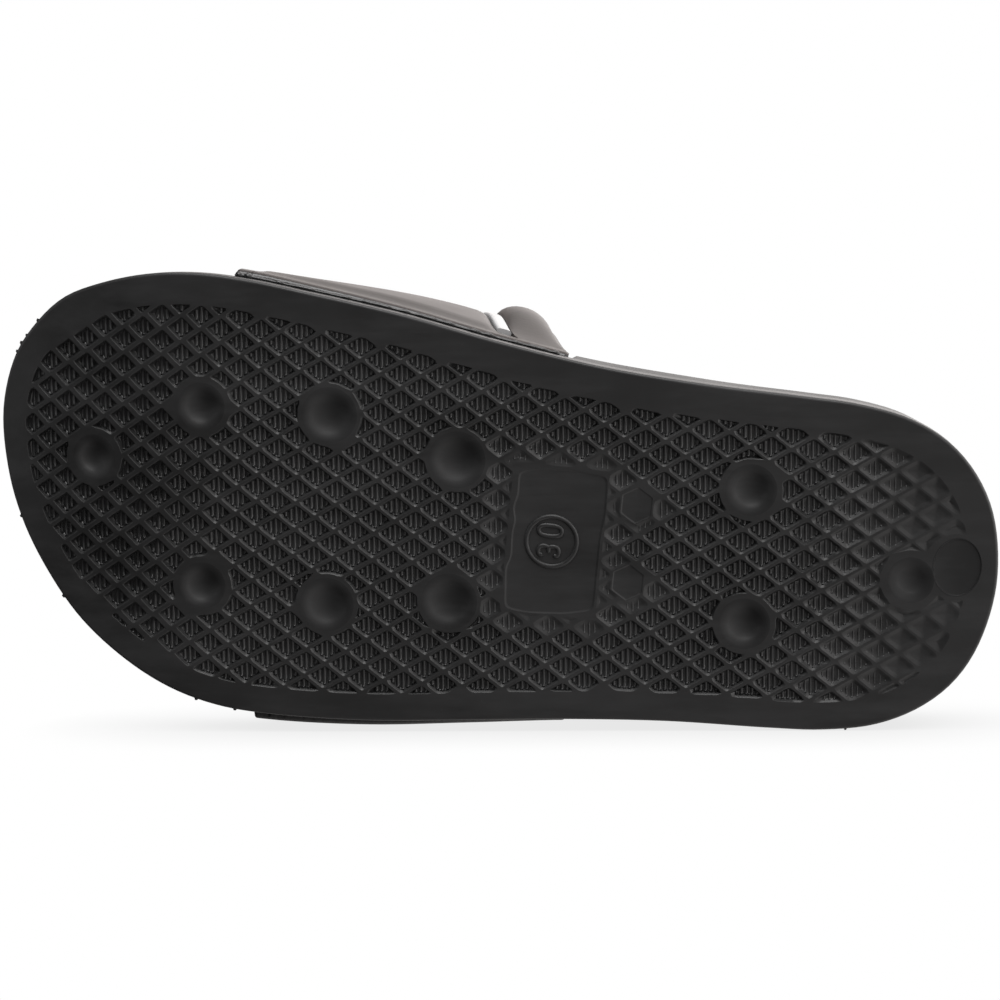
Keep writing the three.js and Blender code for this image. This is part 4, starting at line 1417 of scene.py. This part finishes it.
def rubber_finish(name, smoothest, roughest, shine, painted_light_factor=1.0):
    """Moulded black rubber: satin, faintly clouded, with fine scuffs and dust. The last argument makes
    its colour lighter: painted light.
    """
    scuff = bpy.context.scene.slide_colours.scuff
    material, tree, shader = node_material(name)
    clouds = noise(tree, 45, 4.0)
    streaks = noise(tree, 60, 5.0, 0.7, (0.35, 3.0, 2.2))
    grain = noise(tree, 4200, 2.0)
    dust = spread(tree, noise(tree, 1500, 3.0, 0.75), 0.70, 0.80, 0.0, scuff)
    # The last argument lightens these colours: painted light on the pockets' floors and ribs
    dark, light, worn = (tint("outsole", by * painted_light_factor) for by in (0.6, 1.5, 2.3))
    base = blend_colours(tree, spread(tree, clouds, 0.3, 0.7, 0.0, 1.0), dark, light)
    base = blend_colours(tree, spread(tree, streaks, 0.45, 0.7, 0.0, 0.7), base, worn)
    tree.links.new(blend_colours(tree, dust, base, DUST), shader.inputs["Base Color"])
    tree.links.new(spread(tree, streaks, 0.3, 0.7, smoothest, roughest), shader.inputs["Roughness"])
    set_inputs(shader, {"Specular IOR Level": shine})
    bump(tree, shader, ((clouds, 0.25, 0.12), (streaks, 0.45, 0.06), (grain, 0.3, 0.025)))
    return material


def foam_finish():
    """The footbed's moulded foam: matt with a fine pebbled skin."""
    material, tree, shader = node_material("footbed_foam")
    clouds = noise(tree, 30, 3.0)
    pebbles = pattern(tree, "ShaderNodeTexVoronoi", 1100)
    base = blend_colours(tree, clouds, tint("footbed"), tint("footbed", 1.5))
    tree.links.new(base, shader.inputs["Base Color"])
    tree.links.new(spread(tree, clouds, 0.3, 0.7, 0.5, 0.62), shader.inputs["Roughness"])
    bump(tree, shader, ((pebbles.outputs["Distance"], 0.35, 0.12), (noise(tree, 3500, 2.0), 0.2, 0.03)))
    return material


def coat_finish():
    """The strap's coated cloth: charcoal, satin, with a fine leather grain."""
    material, tree, shader = node_material("strap_coat")
    grain = pattern(tree, "ShaderNodeTexVoronoi", 1300)
    grain.feature = "SMOOTH_F1"
    clouds = noise(tree, 40, 3.0)
    base = blend_colours(tree, clouds, tint("strap"), tint("strap", 1.3))
    tree.links.new(base, shader.inputs["Base Color"])
    tree.links.new(spread(tree, clouds, 0.3, 0.7, 0.36, 0.45), shader.inputs["Roughness"])
    set_inputs(shader, {"Specular IOR Level": 0.32, "Specular Tint": (*WARM, 1.0)})
    bump(tree, shader, ((clouds, 0.2, 0.15), (grain.outputs["Distance"], 0.25, 0.05)))
    return material


def edge_finish():
    """Bare black rubber of the strap's edges and bond line, glossy; its near-black colour is also
    painted shade for the gap between sole and strap.
    """
    material, tree, shader = node_material("strap_edge_black")
    set_inputs(shader, {"Base Color": (*tint("bond"), 1.0), "Specular IOR Level": 0.5})
    tree.links.new(spread(tree, noise(tree, 300, 3.0), 0.3, 0.7, 0.1, 0.28), shader.inputs["Roughness"])
    bump(tree, shader, ((noise(tree, 700, 3.0), 0.4, 0.2),))
    return material


def lining_finish():
    """Knitted lining: fine crossed rows, matt, with a little sheen."""
    material, tree, shader = node_material("strap_lining")
    waves = []
    for direction in ("X", "Z"):
        wave = pattern(tree, "ShaderNodeTexWave", 260)
        wave.bands_direction = direction
        waves.append(wave.outputs["Fac"])
    base = blend_colours(tree, waves[0], tint("lining"), tint("lining", 1.8))
    tree.links.new(base, shader.inputs["Base Color"])
    set_inputs(shader, {"Roughness": 0.85, "Sheen Weight": 0.3})
    bump(tree, shader, ((waves[0], 0.4, 0.15), (waves[1], 0.4, 0.15)))
    return material


def stripe_finish():
    material, tree, shader = node_material("stripe_white")
    greyer = spread(tree, noise(tree, 60, 4.0), 0.45, 0.75, 0.0, 0.5)
    base = blend_colours(tree, greyer, tint("stripe"), tint("stripe", 0.88))
    tree.links.new(base, shader.inputs["Base Color"])
    set_inputs(shader, {"Roughness": 0.42})
    bump(tree, shader, ((noise(tree, 2500, 2.0), 0.15, 0.03),))
    return material


def floor_finish():
    """An evenly glowing pale floor: white, with a painted contact shadow that darkens it close to what
    stands on it.
    """
    material, tree, shader = node_material("studio_floor")
    # Ambient occlusion darkens the floor's glow near the shoe: a painted contact shadow
    near = tree.nodes.new("ShaderNodeAmbientOcclusion")
    set_inputs(near, {"Distance": 0.03})
    light = spread(tree, near.outputs["AO"], 0.2, 0.95, 0.0, 1.0)
    shade = blend_colours(tree, light, tint("floor", 0.8), tint("floor"))
    black = (0.0, 0.0, 0.0, 1.0)
    set_inputs(shader, {"Base Color": black, "Specular IOR Level": 0.0, "Emission Strength": 1.0})
    tree.links.new(shade, shader.inputs["Emission Color"])
    return material


# Operators


class SLIDE_OT_outsole(Operator):
    """Makes the outsole with its diamond tread, floor ribs, size mark and mould flash"""

    bl_idname = "slide.outsole"
    bl_label = "Outsole"

    def execute(self, context):
        rubber = rubber_finish("moulded_rubber", 0.38, 0.52, 0.44)
        # Glossier, and its colour 1.5 times lighter: painted light on the crisp pockets' floors and on
        # the floor ribs
        glossy = rubber_finish("moulded_rubber_glossy", 0.25, 0.33, 0.44, 1.5)
        satin = rubber_finish("moulded_rubber_satin", 0.48, 0.57, 0.32)
        piece, outline, tread = make_outsole(rubber, glossy, satin)
        declare(piece, "outsole", "outsole")
        for part in (make_floor_ribs(outline, tread, glossy), make_size_mark(outline, rubber),
                     make_flash(outline, rubber)):
            declare(part, "outsole")
        return {"FINISHED"}


class SLIDE_OT_footbed(Operator):
    """Makes the footbed with its cup, arch and rim"""

    bl_idname = "slide.footbed"
    bl_label = "Footbed"

    def execute(self, context):
        outline = Outline(in_mm("slide_sole"))
        declare(make_footbed(outline, foam_finish()), "footbed", "footbed")
        return {"FINISHED"}


class SLIDE_OT_strap(Operator):
    """Makes the strap with its panel, groove and padded roll, and the white stripe in the groove"""

    bl_idname = "slide.strap"
    bl_label = "Strap and stripe"

    def execute(self, context):
        outline = Outline(in_mm("slide_sole"))
        edge = edge_finish()
        declare(make_strap(outline, coat_finish(), lining_finish(), edge), "strap", "strap")
        declare(make_bond(outline, edge), "strap")
        declare(make_stripe(outline, stripe_finish()), "stripe", "stripe")
        return {"FINISHED"}


class SLIDE_OT_stage(Operator):
    """Sets the floor, the lights and the camera"""

    bl_idname = "slide.stage"
    bl_label = "Stage"

    def execute(self, context):
        set_floor(floor_finish())
        set_lights()
        set_world()
        set_camera()
        return {"FINISHED"}


# The studio floor, a disc this wide and this far under the shoe, in metres
FLOOR_RADIUS = 6.0
FLOOR_DROP = 0.0002


def set_floor(finish):
    mesh = bpy.data.meshes.new("studio_floor")
    work = bmesh.new()
    bmesh.ops.create_circle(work, cap_ends=True, radius=FLOOR_RADIUS, segments=96)
    work.to_mesh(mesh)
    work.free()
    mesh.materials.append(finish)
    floor = linked("studio_floor", mesh)
    floor.location = (0.0, 0.0, -FLOOR_DROP)
    floor.visible_glossy = False
    floor.visible_diffuse = False


# Softboxes: place and target in metres, size across and along in metres, power in watts
SOFTBOXES = table(
    "name at to size power",
    ("top_box", (-0.05, -0.42, 0.82), (0.0, 0.0, 0.05), (0.7, 0.45), 5.5),
    ("left_box", (-1.0, -0.3, 0.3), (0.0, 0.0, 0.05), (0.8, 0.6), 1.1),
    ("right_box", (1.0, -0.3, 0.3), (0.0, 0.0, 0.05), (0.8, 0.6), 2.8),
    ("back_strip", (0.0, 0.85, 0.4), (0.0, 0.0, 0.08), (1.3, 0.16), 0.6),
)


def set_lights():
    for row in SOFTBOXES:
        light = bpy.data.lights.new(row["name"], "AREA")
        light.shape = "RECTANGLE"
        light.size, light.size_y = row["size"]
        light.energy = row["power"]
        light.color = WARM if row["name"] == "back_strip" else WHITE
        lamp = linked(row["name"], light)
        lamp.location = row["at"]
        way = Vector(row["to"]) - Vector(row["at"])
        lamp.rotation_euler = way.to_track_quat("-Z", "Y").to_euler()


# How bright the room is in front and at the sides, and times how much from toe to heel and upwards
ROOM_LIGHT = {"front_to_side": (0.13, 0.45), "toe_to_heel": (0.34, 3.7), "floor_to_eye": (0.8, 1.2)}


def set_world():
    """White behind everything, and a dim room round the object."""
    world = bpy.data.worlds.new("studio")
    world.use_nodes = True
    tree = world.node_tree
    background = tree.nodes["Background"]
    set_inputs(background, {"Color": (*WHITE, 1.0), "Strength": 1.0})
    room = tree.nodes.new("ShaderNodeBackground")
    set_inputs(room, {"Color": (*ROOM_TINT, 1.0)})
    way, parts = tree.nodes.new("ShaderNodeTexCoord"), tree.nodes.new("ShaderNodeSeparateXYZ")
    tree.links.new(way.outputs["Generated"], parts.inputs["Vector"])
    ahead = spread(tree, parts.outputs["Y"], -1.0, -0.3, *ROOM_LIGHT["front_to_side"])
    heelward = spread(tree, parts.outputs["X"], -0.4, 0.15, *ROOM_LIGHT["toe_to_heel"])
    upward = spread(tree, parts.outputs["Z"], -0.6, 0.0, *ROOM_LIGHT["floor_to_eye"])
    level = ahead
    for factor in (heelward, upward):
        times = tree.nodes.new("ShaderNodeMath")
        times.operation = "MULTIPLY"
        tree.links.new(level, times.inputs[0])
        tree.links.new(factor, times.inputs[1])
        level = times.outputs["Value"]
    tree.links.new(level, room.inputs["Strength"])
    rays, choose = tree.nodes.new("ShaderNodeLightPath"), tree.nodes.new("ShaderNodeMixShader")
    tree.links.new(rays.outputs["Is Camera Ray"], choose.inputs["Fac"])
    tree.links.new(room.outputs["Background"], choose.inputs[1])
    tree.links.new(background.outputs["Background"], choose.inputs[2])
    tree.links.new(choose.outputs["Shader"], tree.nodes["World Output"].inputs["Surface"])
    bpy.context.scene.world = world
    bpy.context.scene.view_settings.view_transform = "Standard"


# The place on the tread at the middle of the picture
CAMERA_TARGET = (101.89, 6.32, 0.0)


def set_camera():
    """The camera faces the tread as the photograph does."""
    stage, size = bpy.context.scene.slide_stage, in_mm("slide_stage")
    yaw, rise, turn = stage.yaw, stage.rise, stage.turn
    ahead = np.array([math.sin(yaw) * math.cos(rise), -math.sin(rise), math.cos(yaw) * math.cos(rise)])
    right = np.array([-1.0, 0.0, 0.0])
    right -= ahead * (right @ ahead)
    right /= np.linalg.norm(right)
    cosine, sine = math.cos(turn), math.sin(turn)
    spin = np.array([[cosine, -sine, 0.0], [sine, cosine, 0.0], [0.0, 0.0, 1.0]])
    ahead, right = ahead @ spin, right @ spin
    target = np.array(CAMERA_TARGET)
    place = laid([target - ahead * size.distance])[0]
    origin = laid([(0.0, 0.0, 0.0)])[0]
    ahead, right = (laid([way])[0] - origin for way in (ahead, right))
    ahead, right = (Vector(way).normalized() for way in (ahead, right))
    above = right.cross(ahead)
    data = bpy.data.cameras.new("camera")
    data.sensor_width = size.sensor
    data.lens = size.lens
    data.clip_start, data.clip_end = 0.01, 20.0
    camera = linked("camera", data)
    turned = Matrix((right, above, -ahead)).transposed().to_4x4()
    camera.matrix_world = Matrix.Translation(Vector(place)) @ turned
    bpy.context.scene.camera = camera


class SLIDE_PT_sizes(Panel):
    """Sizes and colours of the slide, and the buttons that make its pieces"""

    bl_idname = "SLIDE_PT_sizes"
    bl_label = "Sport slide sandal"
    bl_space_type = "VIEW_3D"
    bl_region_type = "UI"
    bl_category = "Slide"

    def draw(self, context):
        for operator in OPERATORS:
            self.layout.operator(operator.bl_idname)
        for name in GROUPS:
            box = self.layout.box()
            group = getattr(context.scene, name)
            for prop in group.__annotations__:
                box.prop(group, prop)


OPERATORS = (SLIDE_OT_outsole, SLIDE_OT_footbed, SLIDE_OT_strap, SLIDE_OT_stage)


def register():
    for kind in (*GROUPS.values(), *OPERATORS, SLIDE_PT_sizes):
        bpy.utils.register_class(kind)
    for name, kind in GROUPS.items():
        setattr(bpy.types.Scene, name, PointerProperty(type=kind))


def unregister():
    for name in GROUPS:
        delattr(bpy.types.Scene, name)
    for kind in (SLIDE_PT_sizes, *reversed(OPERATORS), *reversed(GROUPS.values())):
        bpy.utils.unregister_class(kind)


def main():
    register()
    bpy.ops.slide.stage()
    bpy.ops.slide.outsole()
    bpy.ops.slide.footbed()
    bpy.ops.slide.strap()


if __name__ == "__main__":
    main()
